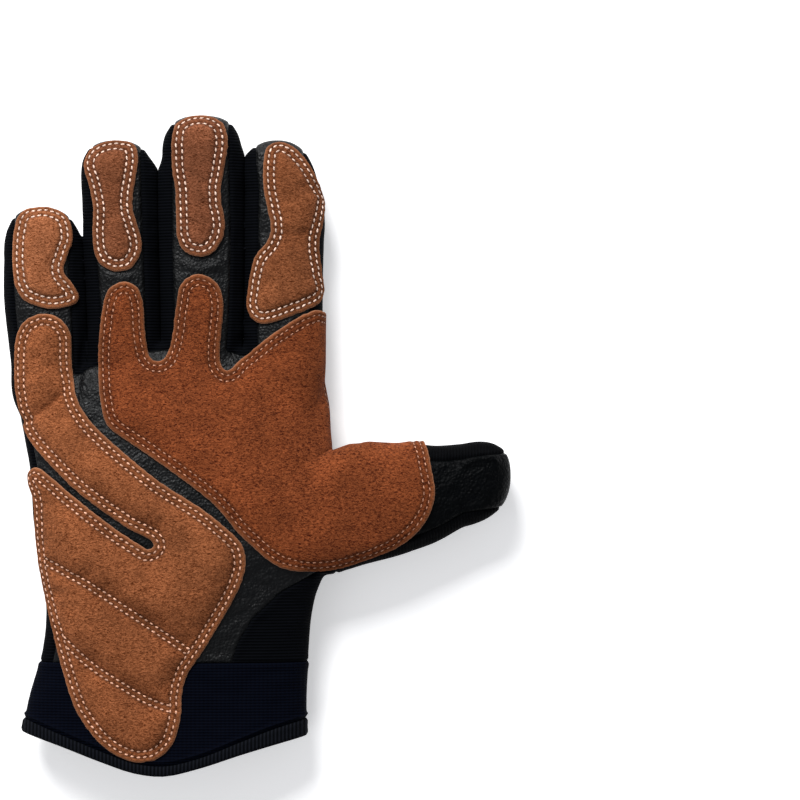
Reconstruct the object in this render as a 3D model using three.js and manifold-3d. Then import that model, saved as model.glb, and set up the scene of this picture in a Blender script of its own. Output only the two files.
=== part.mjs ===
// A right-hand work glove lying on its back, palm up, fingers along +Y and thumb towards +X, in millimetres.
// It is sewn from black leather, ribbed stretch fabric and a knit cuff, with brown suede patches on the palm side.
// Every piece is cut from the same rounded form: the form at one depth less the form at a deeper one
// gives a wall of even thickness, and a flat outline then cuts the piece out of that wall.
import * as THREE from "three";
import { mergeVertices } from "three/addons/utils/BufferGeometryUtils.js";
import Module from "manifold-3d";

const wasm = await Module();
wasm.setup();

// Wall thicknesses and the gap that touching pieces keep.
const LEATHER = 1.8;
const KNIT = 2.1;
const HEM_PROUD = 0.7;
const HEM_INNER = 2.5;
const SUEDE = 1.6;
const GAP = 0.3;

// Heights that part the palm side from the back, and the widths of the side strips seen from above.
const HAND_SPLIT_Z = 10.5;
const THUMB_SPLIT_Z = 13.5;
const FINGER_STRIP = 4.5;
const HAND_STRIP = 4.5;
const THUMB_STRIP = 5.5;

// Seams across the glove.
const THUMB_SEAM_X = 31;
const CUFF_SEAM_Y = -81.6;

// The knuckle line is bowed: it drops towards both edges of the hand.
const BOW = 0.0055;
const BOW_CENTRE_X = -25;

// Section shape: 2 is an ellipse, and higher is boxier.
const SECTION_POWER = 2.6;
const TIP_POWER = 2.3;
const BACK_FLATTEN = 1.18;
const TIP_STEPS = [0.55, 0.88, 1];
const TIP_FLAT = 0.3;
const FINGER_SIDES = 14;
const THUMB_SIDES = 16;
const HAND_SIDES = 26;
const REACH = 200;

const table = (columns, rows) =>
  rows.map((row) => Object.fromEntries(columns.map((name, i) => [name, row[i]])));

// Hand and cuff, from the knuckles to past the hem. bow says how much of the knuckle line's bow a section takes.
const HAND = table(
  ["at", "left", "right", "bottom", "top", "bow"],
  [
    [40, -88, 24, 5.5, 14.5, 1],
    [37.5, -91, 26.5, 2, 17.5, 1],
    [33, -92, 27.5, 0, 19.8, 1],
    [20, -91.5, 28.3, 0, 22.5, 0.6],
    [5, -89.5, 29.3, 0, 25, 0.25],
    [-9, -86.4, 30, 0, 26.8, 0],
    [-25, -84.4, 30.2, 0, 27.8, 0],
    [-42, -82, 29, 0, 27.6, 0],
    [-56, -79.5, 25, 0, 26.4, 0],
    [-81, -81.3, 20.8, 0.8, 24, 0],
    [-93, -84.8, 19.4, 0.9, 23.6, 0],
    [-130, -92, 20, 0.9, 24.6, 0],
  ],
);

const FINGER_COLUMNS = ["at", "centre", "half", "bottom", "top"];
const FINGERS = {
  little: {
    tip: 90.8,
    rows: table(FINGER_COLUMNS, [
      [0, -73, 9, 3.6, 17],
      [17, -76.6, 14.2, 0.4, 18.5],
      [32, -78, 14.3, 0.6, 18],
      [63, -80.6, 15.2, 2, 17.5],
      [77, -81.1, 14.2, 3, 17.5],
    ]),
  },
  ring: {
    tip: 116.2,
    rows: table(FINGER_COLUMNS, [
      [5, -49.5, 12.5, 1, 19],
      [24, -49.3, 13.2, 0.4, 19.5],
      [58, -50, 13.3, 1, 18.8],
      [80, -51.4, 13.8, 1.8, 18.5],
      [100, -52.6, 13.6, 2.9, 18.3],
    ]),
  },
  middle: {
    tip: 125.6,
    rows: table(FINGER_COLUMNS, [
      [5, -20.3, 13.5, 1, 20],
      [24, -20.4, 14, 0.4, 20.5],
      [54, -20, 15.2, 0.9, 19.8],
      [85, -20, 15.6, 1.8, 19.5],
      [109, -20.2, 14.8, 3.2, 19.2],
    ]),
  },
  index: {
    tip: 116,
    rows: table(FINGER_COLUMNS, [
      [5, 10.5, 14.5, 1, 19.5],
      [24, 11, 15, 0.4, 20],
      [54, 12, 15.4, 0.8, 19.4],
      [80, 12.2, 15.2, 1.6, 19],
      [100, 11.9, 14.4, 2.8, 18.8],
    ]),
  },
};

// The thumb points along +X, so centre and half are measured along Y.
const THUMB = {
  tip: 97,
  tipCentre: -11,
  rows: table(FINGER_COLUMNS, [
    [2, -27, 19, 3, 24.5],
    [16, -27, 22.5, 2, 26.4],
    [29.6, -27, 24.5, 2, 26.6],
    [42, -23.9, 24.7, 2, 26],
    [55, -22.4, 21.6, 2.6, 25],
    [67.6, -19.2, 19.2, 3.6, 24.5],
    [79, -15.2, 16.2, 4.8, 23.6],
  ]),
};

// Palm leather below the knuckles. It turns in along the seam of the stretch panel at the thumb's root.
const PALM_FIELD = table(
  ["x", "y"],
  [
    [-84.5, 3],
    [-82, -9],
    [-79.8, -25],
    [-77.4, -42],
    [-75, -56],
    [-73.8, -68],
    [-76.8, -84],
    [-9.1, -84],
    [-5.7, -73.7],
    [0, -64.2],
    [10.6, -54.7],
    [24.7, -47],
    [40, -47],
    [40, -8],
    [25.4, -8],
    [24.4, 6],
    [23, 22],
  ],
);
// The back runs straight down to the cuff, and its stretch fabric shows on the palm side as that panel.
const BACK_FIELD = table(
  ["x", "y"],
  [
    [-84.5, 3],
    [-82, -9],
    [-79.8, -25],
    [-77.4, -42],
    [-75, -56],
    [-73.8, -68],
    [-76.8, -84],
    [16.3, -84],
    [17.8, -68],
    [20.4, -56],
    [24.2, -47],
    [40, -47],
    [40, -8],
    [25.4, -8],
    [24.4, 6],
    [23, 22],
  ],
);

// The cuff's lower edge, seen from above: the hem lies between top and bottom.
const HEM = table(
  ["x", "top", "bottom"],
  [
    [-110, -97.5, -102.5],
    [-88, -103.7, -108.7],
    [-73, -109.6, -114.4],
    [-57, -116, -120.3],
    [-45, -120.4, -124.4],
    [-34, -121.8, -125.8],
    [-21, -119.4, -123.6],
    [-5, -113.2, -118],
    [7, -108, -113.9],
    [20, -104, -110.4],
    [50, -97, -103.5],
  ],
);

// Fingertip patches: left and right edges at stations along the finger, between two rounded ends.
const PATCH_COLUMNS = ["y", "left", "right"];
const TIP_PATCHES = {
  little: {
    top: [-80.4, 91],
    bottom: [-76, 52],
    rows: table(PATCH_COLUMNS, [
      [90, -86.8, -75.2],
      [87.2, -89.8, -71.2],
      [82.5, -91, -69],
      [77, -91.6, -69],
      [70.5, -91.7, -71.3],
      [65.7, -91.4, -71.9],
      [60.5, -90.5, -68],
      [56, -87.8, -66.4],
      [53.3, -83, -69.2],
    ]),
  },
  ring: {
    top: [-51.6, 116.1],
    bottom: [-51.2, 66],
    rows: table(PATCH_COLUMNS, [
      [115.1, -57.8, -46.6],
      [112, -62.8, -44.3],
      [106, -64.8, -44.1],
      [99, -62.8, -45.2],
      [91, -61, -46],
      [85, -61.1, -44.6],
      [79, -61.2, -42.8],
      [74, -60.7, -42.6],
      [69.4, -58.7, -44.6],
      [67, -55.4, -47.2],
    ]),
  },
  middle: {
    top: [-20.1, 125.6],
    bottom: [-20.2, 71.6],
    rows: table(PATCH_COLUMNS, [
      [124.4, -26.2, -15],
      [121.5, -30.1, -11.3],
      [115, -31.3, -9.9],
      [105, -31.1, -11.2],
      [98, -29.9, -12.5],
      [91.5, -29.6, -12.2],
      [84.5, -29.5, -10.9],
      [78.5, -28.9, -11.9],
      [74.5, -27.2, -14.2],
      [72.4, -24, -16.9],
    ]),
  },
  index: {
    top: [11.6, 114.9],
    bottom: [3.8, 46.3],
    rows: table(PATCH_COLUMNS, [
      [113, 7.6, 16.6],
      [109, 4.9, 20.7],
      [103.4, 3.5, 24.4],
      [97, 3.7, 26.8],
      [90, 5, 27.6],
      [83, 6.7, 26.9],
      [77.5, 5, 25],
      [72, 0.4, 25],
      [66, -1.5, 25.7],
      [60, -2.6, 26.4],
      [54.6, -3.3, 25.2],
      [51.6, -2.8, 20],
      [48.6, -1.4, 12.4],
      [46.9, 1, 7.4],
    ]),
  },
};

// Palm patch: two prongs up the ring and middle fingers, a corner under the index finger, and a lobe over the thumb.
const PALM_PATCH = table(
  ["x", "y"],
  [
    [-49.6, 62.1],
    [-55.3, 58.9],
    [-57.6, 50.5],
    [-59, 36],
    [-58.5, 23],
    [-56.9, 12.9],
    [-54, 6.9],
    [-36.4, -5.2],
    [-15.3, -21],
    [-4.8, -33.1],
    [6.5, -43.3],
    [13.2, -46.4],
    [23.8, -47.2],
    [34.3, -45.7],
    [54.3, -38.2],
    [64.2, -29.1],
    [68.2, -18.6],
    [66.8, -7.5],
    [65.3, -0.6],
    [62.5, 2.2],
    [57.8, 0.4],
    [48.5, -1.1],
    [37.5, 0.2],
    [29.4, -3.2],
    [28.5, 11.7],
    [26.9, 40.6],
    [25.4, 49.4],
    [22.8, 51.3],
    [8.7, 43.6],
    [-4.8, 33.1],
    [-9.4, 28.8],
    [-12.3, 30.6],
    [-12.8, 37],
    [-11.6, 53.4],
    [-13.9, 61.5],
    [-21.3, 65],
    [-27.7, 61],
    [-29.6, 51.9],
    [-31.4, 39.5],
    [-33.6, 33.6],
    [-36.6, 32.2],
    [-39.6, 34.2],
    [-41.2, 44],
    [-42, 54.6],
    [-44.4, 60.2],
  ],
);

// Heel patch: a band from the little finger's root that turns under a slot and runs down over the cuff.
const HEEL_PATCH = table(
  ["x", "y"],
  [
    [-80.8, 50],
    [-87.4, 46.8],
    [-90.6, 39.7],
    [-91.1, 25],
    [-90, 16.5],
    [-88, 7.6],
    [-83.8, 0.5],
    [-66.4, -16.7],
    [-48, -29.9],
    [-38.6, -34.8],
    [-37.2, -37.4],
    [-39.8, -38.4],
    [-55, -28.4],
    [-70.7, -16.2],
    [-77.7, -10.4],
    [-82.2, -8],
    [-85.6, -9.6],
    [-85.9, -13.6],
    [-83.8, -20],
    [-81.6, -44.8],
    [-76.4, -69.2],
    [-69, -94.5],
    [-64.6, -103.3],
    [-58.5, -111],
    [-50.7, -116.6],
    [-42.8, -118.8],
    [-35.6, -117],
    [-30.4, -111.8],
    [-27.4, -102],
    [-27, -94],
    [-25, -86],
    [-19.4, -77.6],
    [-9.4, -61],
    [-4, -50],
    [-2.8, -42.4],
    [-5.2, -35.2],
    [-18.4, -23.9],
    [-35.8, -12.6],
    [-52.8, 1.3],
    [-62.6, 11],
    [-67.4, 20],
    [-69, 33],
    [-69.6, 43],
    [-74, 48.6],
  ],
);

const signedPower = (value, power) => Math.sign(value) * Math.abs(value) ** power;

// One ring of points round a section, which lies across X or across Y.
function ring(section, across, sides, offset) {
  const half = section.half + offset;
  const top = section.top + offset;
  const bottom = section.bottom - offset;
  const middle = (top + bottom) / 2;
  const rise = (top - bottom) / 2;
  const points = [];
  for (let i = 0; i < sides; i++) {
    const angle = (2 * Math.PI * i) / sides;
    const wide = half * signedPower(Math.cos(angle), 2 / SECTION_POWER);
    const high = signedPower(Math.sin(angle), 2 / SECTION_POWER);
    const z = high > 0 ? middle + rise * high : middle - rise * Math.min(1, -high * BACK_FLATTEN);
    const along = section.at;
    const side = section.centre + wide;
    const bow = (section.bow ?? 0) * BOW * (side - BOW_CENTRE_X) ** 2;
    points.push(across === "x" ? [side, along - bow, z] : [along, side, z]);
  }
  return points;
}

// A closed solid lofted through rings. Each end is closed by rungs from the ring's top half to its bottom half.
function loft(rings) {
  const sides = rings[0].length;
  const faces = [];
  for (let r = 0; r + 1 < rings.length; r++) {
    for (let i = 0; i < sides; i++) {
      const next = (i + 1) % sides;
      const [a, b, c, d] = [r * sides + i, r * sides + next, (r + 1) * sides + next, (r + 1) * sides + i];
      faces.push(a, b, c, a, c, d);
    }
  }
  const lastRing = (rings.length - 1) * sides;
  for (let i = 0; i < sides / 2; i++) {
    const [p, q, r, s] = [i, i + 1, (sides - i) % sides, sides - i - 1];
    if (p !== r) faces.push(q, p, r, lastRing + p, lastRing + q, lastRing + r);
    if (q !== s) faces.push(q, r, s, lastRing + r, lastRing + q, lastRing + s);
  }
  const geometry = new THREE.BufferGeometry();
  geometry.setAttribute("position", new THREE.Float32BufferAttribute(rings.flat(2), 3));
  geometry.setIndex(faces);
  return geometry;
}

function solid(geometry) {
  const bare = geometry.clone();
  bare.deleteAttribute("normal");
  bare.deleteAttribute("uv");
  const merged = mergeVertices(bare, 1e-4);
  const vertProperties = merged.attributes.position.array;
  const triVerts = new Uint32Array(merged.index.array);
  const made = new wasm.Manifold(new wasm.Mesh({ numProp: 3, vertProperties, triVerts }));
  if (made.volume() > 0) return made;
  for (let i = 0; i < triVerts.length; i += 3) [triVerts[i], triVerts[i + 1]] = [triVerts[i + 1], triVerts[i]];
  return new wasm.Manifold(new wasm.Mesh({ numProp: 3, vertProperties, triVerts }));
}

// A finger or the thumb: its table's sections, then rounded ones up to the tip.
function digit({ rows, tip, tipCentre }, across, sides, offset) {
  const last = rows.at(-1);
  const endCentre = tipCentre ?? last.centre;
  const middle = (last.top + last.bottom) / 2;
  const rise = (last.top - last.bottom) / 2;
  const rounded = TIP_STEPS.map((share) => {
    const scale = Math.max(TIP_FLAT, (1 - share ** TIP_POWER) ** (1 / TIP_POWER));
    const grown = (size) => (size + offset) * scale - offset;
    return {
      at: last.at + (tip + offset - last.at) * share,
      centre: last.centre + (endCentre - last.centre) * share,
      half: grown(last.half),
      top: middle + grown(rise),
      bottom: middle - grown(rise),
    };
  });
  return solid(loft([...rows, ...rounded].map((row) => ring(row, across, sides, offset))));
}

// The whole glove's form, grown outwards by offset or inwards where it is negative.
function form(offset) {
  const hand = HAND.map((row) => ({ ...row, centre: (row.left + row.right) / 2, half: (row.right - row.left) / 2 }));
  hand[0] = { ...hand[0], at: hand[0].at + offset };
  let body = solid(loft(hand.map((row) => ring(row, "x", HAND_SIDES, offset))));
  for (const finger of Object.values(FINGERS)) body = body.add(digit(finger, "x", FINGER_SIDES, offset));
  return body.add(digit(THUMB, "y", THUMB_SIDES, offset));
}

// A flat outline raised to a prism between two heights.
function prism(points, low = -REACH, high = REACH) {
  const shape = new THREE.Shape(points.map(([x, y]) => new THREE.Vector2(x, y)));
  const geometry = new THREE.ExtrudeGeometry(shape, { depth: high - low, bevelEnabled: false });
  geometry.translate(0, 0, low);
  return solid(geometry);
}

// A closed smooth outline through a few points.
function smoothOutline(points, pointsPerSpan = 2) {
  const curve = new THREE.CatmullRomCurve3(
    points.map(([x, y]) => new THREE.Vector3(x, y, 0)),
    true,
    "centripetal",
  );
  return curve
    .getPoints(points.length * pointsPerSpan)
    .slice(0, -1)
    .map((p) => [p.x, p.y]);
}

const pairs = (rows) => rows.map(({ x, y }) => [x, y]);
const slab = (low, high) => [
  [low, -REACH],
  [high, -REACH],
  [high, REACH],
  [low, REACH],
];
const band = (low, high) => [
  [-REACH, low],
  [REACH, low],
  [REACH, high],
  [-REACH, high],
];

// An outline grown sideways by a small margin, for the clearance between the pieces it parts.
function grown(points, margin) {
  const count = points.length;
  const area = points.reduce((sum, [x, y], i) => {
    const [u, v] = points[(i + 1) % count];
    return sum + x * v - u * y;
  }, 0);
  const turn = Math.sign(area);
  return points.map(([x, y], i) => {
    const [ax, ay] = points[(i + count - 1) % count];
    const [bx, by] = points[(i + 1) % count];
    const length = Math.hypot(bx - ax, by - ay);
    return [x + (turn * margin * (by - ay)) / length, y - (turn * margin * (bx - ax)) / length];
  });
}

// The strip of palm or back that runs up a digit, past its tip.
function stripOutline({ rows, tip, tipCentre }, across, strip, margin) {
  const beyond = { ...rows.at(-1), at: tip + 10, centre: tipCentre ?? rows.at(-1).centre };
  const all = [...rows, beyond].map((row) => ({ ...row, inset: row.half - strip + margin }));
  const low = all.map((row) => [row.centre - row.inset, row.at]);
  const high = all.map((row) => [row.centre + row.inset, row.at]).reverse();
  const outline = [...low, ...high];
  return across === "x" ? outline : outline.map(([a, b]) => [b, a]);
}

// The hand's field with its bowed knuckle edge, which stops short of the web between the fingers.
function fieldOutline(rows, margin) {
  const webInset = 2.6;
  const knuckles = [];
  for (let x = 23; x >= -86; x -= 12) {
    knuckles.push([x, HAND[0].at - webInset - BOW * (x - BOW_CENTRE_X) ** 2]);
  }
  return grown([...pairs(rows), ...knuckles], margin);
}

function panelPrism(rows, low, high, margin) {
  let made = prism(fieldOutline(rows, margin), low, high);
  for (const finger of Object.values(FINGERS)) {
    made = made.add(prism(stripOutline(finger, "x", FINGER_STRIP, margin), low, high));
  }
  return made;
}

const wall = form(0).subtract(form(-LEATHER));
const half = GAP / 2;

// The hand's wall, between the cuff's seam and the thumb's.
const handWall = wall
  .intersect(prism(band(CUFF_SEAM_Y + half, REACH)))
  .intersect(prism(slab(-REACH, THUMB_SEAM_X - half)));
const thumbWall = wall.intersect(prism(slab(THUMB_SEAM_X + half, REACH)));

const palmLeather = handWall.intersect(panelPrism(PALM_FIELD, HAND_SPLIT_Z + half, REACH, -half));
const backFabric = handWall.intersect(panelPrism(BACK_FIELD, -REACH, HAND_SPLIT_Z - half, -half));
const handSides = handWall
  .subtract(panelPrism(PALM_FIELD, HAND_SPLIT_Z - half, REACH, half))
  .subtract(panelPrism(BACK_FIELD, -REACH, HAND_SPLIT_Z + half, half));

const thumbStrip = (margin) => stripOutline(THUMB, "y", THUMB_STRIP, margin);
const thumbLeather = thumbWall.intersect(prism(thumbStrip(-half), THUMB_SPLIT_Z + half, REACH));
const thumbBack = thumbWall.intersect(prism(thumbStrip(-half), -REACH, THUMB_SPLIT_Z - half));
const thumbSides = thumbWall.subtract(prism(thumbStrip(half)));

// The cuff and its hem, each a closed tube round the wrist.
const hemEdge = (column) => {
  const curve = new THREE.SplineCurve(HEM.map((row) => new THREE.Vector2(row.x, row[column])));
  return curve.getPoints(16).map((p) => [p.x, p.y]);
};
const above = (edge, shift) => [...edge.map(([x, y]) => [x, y + shift]), [REACH, REACH], [-REACH, REACH]];
const cuff = form(0)
  .subtract(form(-KNIT))
  .intersect(prism(band(-REACH, CUFF_SEAM_Y - half)))
  .intersect(prism(above(hemEdge("top"), half)));
const hem = form(HEM_PROUD)
  .subtract(form(-HEM_INNER))
  .subtract(prism(above(hemEdge("top"), -half)))
  .intersect(prism(above(hemEdge("bottom"), 0)));

// The suede lies over the palm side as a second wall.
const suedeWall = form(GAP + SUEDE)
  .subtract(form(GAP))
  .intersect(prism(band(-REACH, REACH), HAND_SPLIT_Z + 1, REACH));
const tipPatchOutline = ({ top, bottom, rows }) => [
  top,
  ...rows.map((row) => [row.right, row.y]),
  bottom,
  ...rows.map((row) => [row.left, row.y]).reverse(),
];
const cutPatch = (outline) => suedeWall.intersect(prism(smoothOutline(outline)));

const COLOURS = { leather: 0x17181a, stretch: 0x101218, knit: 0x10131f, hem: 0x0d0f16, suede: 0x9a5a34, nap: 0x8a4a26 };
const ROUGHNESS = { leather: 0.55, stretch: 0.9, knit: 0.95, hem: 0.85, suede: 0.98, nap: 1 };

const glove = new THREE.Group();
function addPiece(name, made, finish) {
  const mesh = made.getMesh();
  const geometry = new THREE.BufferGeometry();
  geometry.setAttribute("position", new THREE.Float32BufferAttribute(mesh.vertProperties, 3));
  geometry.setIndex(Array.from(mesh.triVerts));
  geometry.computeVertexNormals();
  const material = new THREE.MeshStandardMaterial({ color: COLOURS[finish], roughness: ROUGHNESS[finish], metalness: 0 });
  const piece = new THREE.Mesh(geometry, material);
  piece.name = name;
  glove.add(piece);
}

// The largest body, without the specks that a cut can leave.
const largest = (made) => made.decompose().sort((a, b) => b.volume() - a.volume())[0];

// The side strips fall apart into their own pieces, and each is named by where its middle lies.
function nameStrips(made, places, smallest) {
  for (const strip of made.decompose().filter((body) => body.volume() > smallest)) {
    const { min, max } = strip.boundingBox();
    const x = (min[0] + max[0]) / 2;
    const y = (min[1] + max[1]) / 2;
    const nearest = (place) => Math.hypot(place.x - x, place.y - y);
    const place = places.reduce((best, next) => (nearest(next) < nearest(best) ? next : best));
    addPiece(place.name, strip, "stretch");
  }
}

addPiece("palm_leather", largest(palmLeather), "leather");
addPiece("back_fabric", largest(backFabric), "stretch");
const SMALLEST_STRIP = 50;
nameStrips(
  handSides,
  [
    { name: "ulnar_side_fabric", x: -88, y: 5 },
    { name: "fourchette_little_ring", x: -65, y: 65 },
    { name: "fourchette_ring_middle", x: -36, y: 78 },
    { name: "fourchette_middle_index", x: -4, y: 78 },
    { name: "index_side_fabric", x: 25, y: 50 },
    { name: "wrist_side_fabric", x: 12, y: -65 },
  ],
  SMALLEST_STRIP,
);
addPiece("thumb_leather", largest(thumbLeather), "leather");
addPiece("thumb_back_fabric", largest(thumbBack), "stretch");
nameStrips(
  thumbSides,
  [
    { name: "thumb_inner_side", x: 60, y: 0 },
    { name: "thumb_outer_side", x: 60, y: -35 },
  ],
  SMALLEST_STRIP,
);
addPiece("cuff_knit", largest(cuff), "knit");
addPiece("cuff_hem", largest(hem), "hem");
for (const [name, patch] of Object.entries(TIP_PATCHES)) {
  addPiece(`patch_${name}_tip`, largest(cutPatch(tipPatchOutline(patch))), "suede");
}
addPiece("patch_palm", largest(cutPatch(pairs(PALM_PATCH))), "nap");
addPiece("patch_heel", largest(cutPatch(pairs(HEEL_PATCH))), "suede");

// The origin is the middle of the box on the surface that the glove lies on.
const box = new THREE.Box3().setFromObject(glove);
glove.position.set(-(box.min.x + box.max.x) / 2, -(box.min.y + box.max.y) / 2, -box.min.z);

export default glove;
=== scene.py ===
# %% [markdown]
# # A sewn work glove, lying palm up
# The real glove is sewn from flat cut panels of goat leather and ribbed stretch fabric, with thick suede
# patches stitched on top and a knit cuff. One could model each panel flat and fold it, but sewn panels
# share one smooth surface, so this lesson makes that surface once and cuts every piece out of it.
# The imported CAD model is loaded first: it fixes the size and the place of everything.

# %% Load the fixed frame
import math
import random

import bmesh
import bpy
import numpy as np
from mathutils import Matrix, Vector, kdtree, noise


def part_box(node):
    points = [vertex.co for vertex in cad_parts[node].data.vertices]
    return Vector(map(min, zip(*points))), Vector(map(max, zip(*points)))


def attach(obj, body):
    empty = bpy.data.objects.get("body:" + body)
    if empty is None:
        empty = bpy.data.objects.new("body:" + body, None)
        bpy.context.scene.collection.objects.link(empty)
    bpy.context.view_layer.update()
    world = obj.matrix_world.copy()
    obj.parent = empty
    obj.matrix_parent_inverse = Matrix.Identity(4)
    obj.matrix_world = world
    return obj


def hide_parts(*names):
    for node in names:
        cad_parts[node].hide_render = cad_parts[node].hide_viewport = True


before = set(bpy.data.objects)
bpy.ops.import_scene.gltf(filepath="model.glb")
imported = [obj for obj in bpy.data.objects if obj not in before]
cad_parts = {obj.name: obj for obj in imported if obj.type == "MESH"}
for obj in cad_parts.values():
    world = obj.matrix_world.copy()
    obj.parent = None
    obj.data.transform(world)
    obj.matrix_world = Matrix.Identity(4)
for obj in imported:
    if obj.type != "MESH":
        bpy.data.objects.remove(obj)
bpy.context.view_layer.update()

# %% [markdown]
# The tables below are in millimetres from the glove's own drawing origin. The thumb's seam and the cuff's
# seam are straight, so their places in the CAD nodes show how far the frame's origin lies from the drawing's.

# %% Find the drawing's origin in the frame
MM = 0.001
THUMB_SEAM_X = 31.0
CUFF_SEAM_Y = -81.6
HALF_SEAM = 0.15
SHIFT = Vector(
    (
        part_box("thumb_leather")[0].x / MM - THUMB_SEAM_X - HALF_SEAM,
        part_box("palm_leather")[0].y / MM - CUFF_SEAM_Y - HALF_SEAM,
        0.0,
    )
)
print("drawing origin in the frame, mm:", [round(v, 2) for v in SHIFT])

# %% [markdown]
# ## The form
# A stuffed glove is a mitten-like pillow with five round fingers. Lofting rounded sections is the quickest
# way to a form with known widths, because each row of a table is one measured section. The rows are those
# of the CAD source, moved by a millimetre or two where suede wraps round a side or the photograph shows a
# seam pulling an edge in. Columns: place along the limb, centre, half width, bottom, top. The hand's rows
# have left and right edges instead, and how much of the knuckle line's bow they take.

# %% Section tables
HAND = [
    (41.0, -84.5, 22, 9.0, 11.0, 1),
    (40.0, -87, 24, 5.5, 14.5, 1),
    (37.5, -89.9, 25.4, 2, 17.5, 1),
    (33, -89.2, 26.3, 0, 19.8, 1),
    (20, -88.4, 27.1, 0, 22.5, 0.6),
    (5, -86.9, 28.2, 0, 25, 0.25),
    (-9, -85.2, 30, 0, 26.8, 0),
    (-25, -84.2, 30.2, 0, 27.8, 0),
    (-42, -82, 29, 0, 27.6, 0),
    (-56, -79.5, 23.3, 0, 26.4, 0),
    (-81, -81.3, 20.2, 0.8, 24, 0),
    (-93, -84.8, 19.4, 0.9, 23.6, 0),
    (-130, -92, 20, 0.9, 24.6, 0),
]
FINGERS = {
    "little": {
        "tip": 90.8,
        "tip_centre": -81.4,
        "rows": [
            (0, -73, 9, 3.6, 17),
            (17, -77.2, 14.6, 0.4, 18.5),
            (32, -78.4, 14.7, 0.6, 18),
            (60, -80.4, 15.4, 1.9, 17.5),
            (71, -80.7, 14.9, 2.6, 17.5),
        ],
    },
    "ring": {
        "tip": 116.2,
        "tip_centre": -53.0,
        "rows": [
            (5, -49.5, 12.5, 1, 19),
            (24, -49.3, 13.2, 0.4, 19.5),
            (58, -50, 13.3, 1, 18.8),
            (80, -51.4, 13.8, 1.8, 18.5),
            (101, -52.2, 14, 2.9, 18.3),
        ],
    },
    "middle": {
        "tip": 125.6,
        "rows": [
            (5, -20.3, 13.5, 1, 20),
            (24, -20.4, 14, 0.4, 20.5),
            (54, -20, 15.2, 0.9, 19.8),
            (85, -20, 15.7, 1.8, 19.5),
            (111, -20.2, 15.1, 3.2, 19.2),
        ],
    },
    "index": {
        "tip": 116.2,
        "tip_centre": 8.2,
        "rows": [
            (5, 10, 14, 1, 19.5),
            (24, 10.5, 14.5, 0.4, 20),
            (54, 11.2, 14.5, 0.8, 19.4),
            (76, 11.5, 14.6, 1.5, 19),
            (88, 11.6, 14.8, 2.1, 19),
            (96, 10.8, 13.7, 2.6, 18.8),
        ],
    },
}
THUMB = {
    "tip": 97.0,
    "tip_centre": -11.0,
    "rows": [
        (2, -27, 19, 3, 24.5),
        (16, -27, 22.5, 2, 26.4),
        (29.6, -25.4, 23, 2, 26.6),
        (42, -22.6, 22.2, 2, 26),
        (55, -21, 20.4, 2.6, 25),
        (61, -19.3, 20.1, 3, 24.8),
        (68, -18.3, 18.5, 3.6, 24.5),
        (79, -14.9, 15.8, 4.8, 23.6),
    ],
}
BOW = 0.0055
BOW_CENTRE_X = -25.0
SECTION_POWER = 2.6
TIP_POWER = 2.5
BACK_FLATTEN = 1.18
print("sections:", len(HAND), "for the hand,", {name: len(f["rows"]) for name, f in FINGERS.items()})


# %% [markdown]
# Few rows make a faceted limb. A cubic curve through the rows gives a smooth one that still passes through
# every measured section, and the fingertip gets sections that shrink along a rounded dome.

# %% Smooth the tables
def flowing(rows, step=3.0):
    """Adds rows on a smooth curve through the given ones, about step millimetres apart."""
    rows = np.array(rows, float)
    slopes = np.gradient(rows, rows[:, 0], axis=0)
    made = []
    for a, b, slope_a, slope_b in zip(rows, rows[1:], slopes, slopes[1:]):
        length = b[0] - a[0]
        count = max(1, round(abs(length) / step))
        for t in np.arange(count) / count:
            made.append(
                (2 * t**3 - 3 * t**2 + 1) * a
                + (t**3 - 2 * t**2 + t) * length * slope_a
                + (3 * t**2 - 2 * t**3) * b
                + (t**3 - t**2) * length * slope_b
            )
    return [*made, rows[-1]]


def digit_rows(digit):
    """A finger's smooth rows, closed with a dome at the tip."""
    rows = flowing(digit["rows"])
    at, centre, half, bottom, top = rows[-1]
    end_centre = digit.get("tip_centre", centre)
    for share in (0.15, 0.3, 0.45, 0.58, 0.7, 0.8, 0.87, 0.92, 0.955, 0.98, 0.993, 1.0):
        scale = max(0.003, 1 - share**TIP_POWER) ** (1 / TIP_POWER)
        middle, rise = (top + bottom) / 2, (top - bottom) / 2 * scale
        rows.append(
            np.array(
                (
                    at + (digit["tip"] - at) * share,
                    centre + (end_centre - centre) * share,
                    half * scale,
                    middle - rise,
                    middle + rise,
                )
            )
        )
    return rows


print("middle finger:", len(digit_rows(FINGERS["middle"])), "sections after smoothing")

# %% [markdown]
# Each section starts as a circle from Blender's own operator. Its corners are pushed out to a rounded
# rectangle, flatter on the back where the glove lies on the table, and neighbouring rings are bridged.

# %% Loft the hand, the fingers and the thumb
SIDES = 64


def on_section(corner, row, across_x):
    """Moves a corner of the unit circle onto a rounded section."""
    at, centre, half, bottom, top = row[:5]
    bow = row[5] if len(row) > 5 else 0.0
    wide = half * math.copysign(abs(corner.x) ** (2 / SECTION_POWER), corner.x)
    high = math.copysign(abs(corner.y) ** (2 / SECTION_POWER), corner.y)
    middle, rise = (top + bottom) / 2, (top - bottom) / 2
    z = middle + rise * (high if high > 0 else max(-1.0, high * BACK_FLATTEN))
    side = centre + wide
    along = at - bow * BOW * (side - BOW_CENTRE_X) ** 2
    return Vector((side, along, z)) if across_x else Vector((along, side, z))


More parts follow.
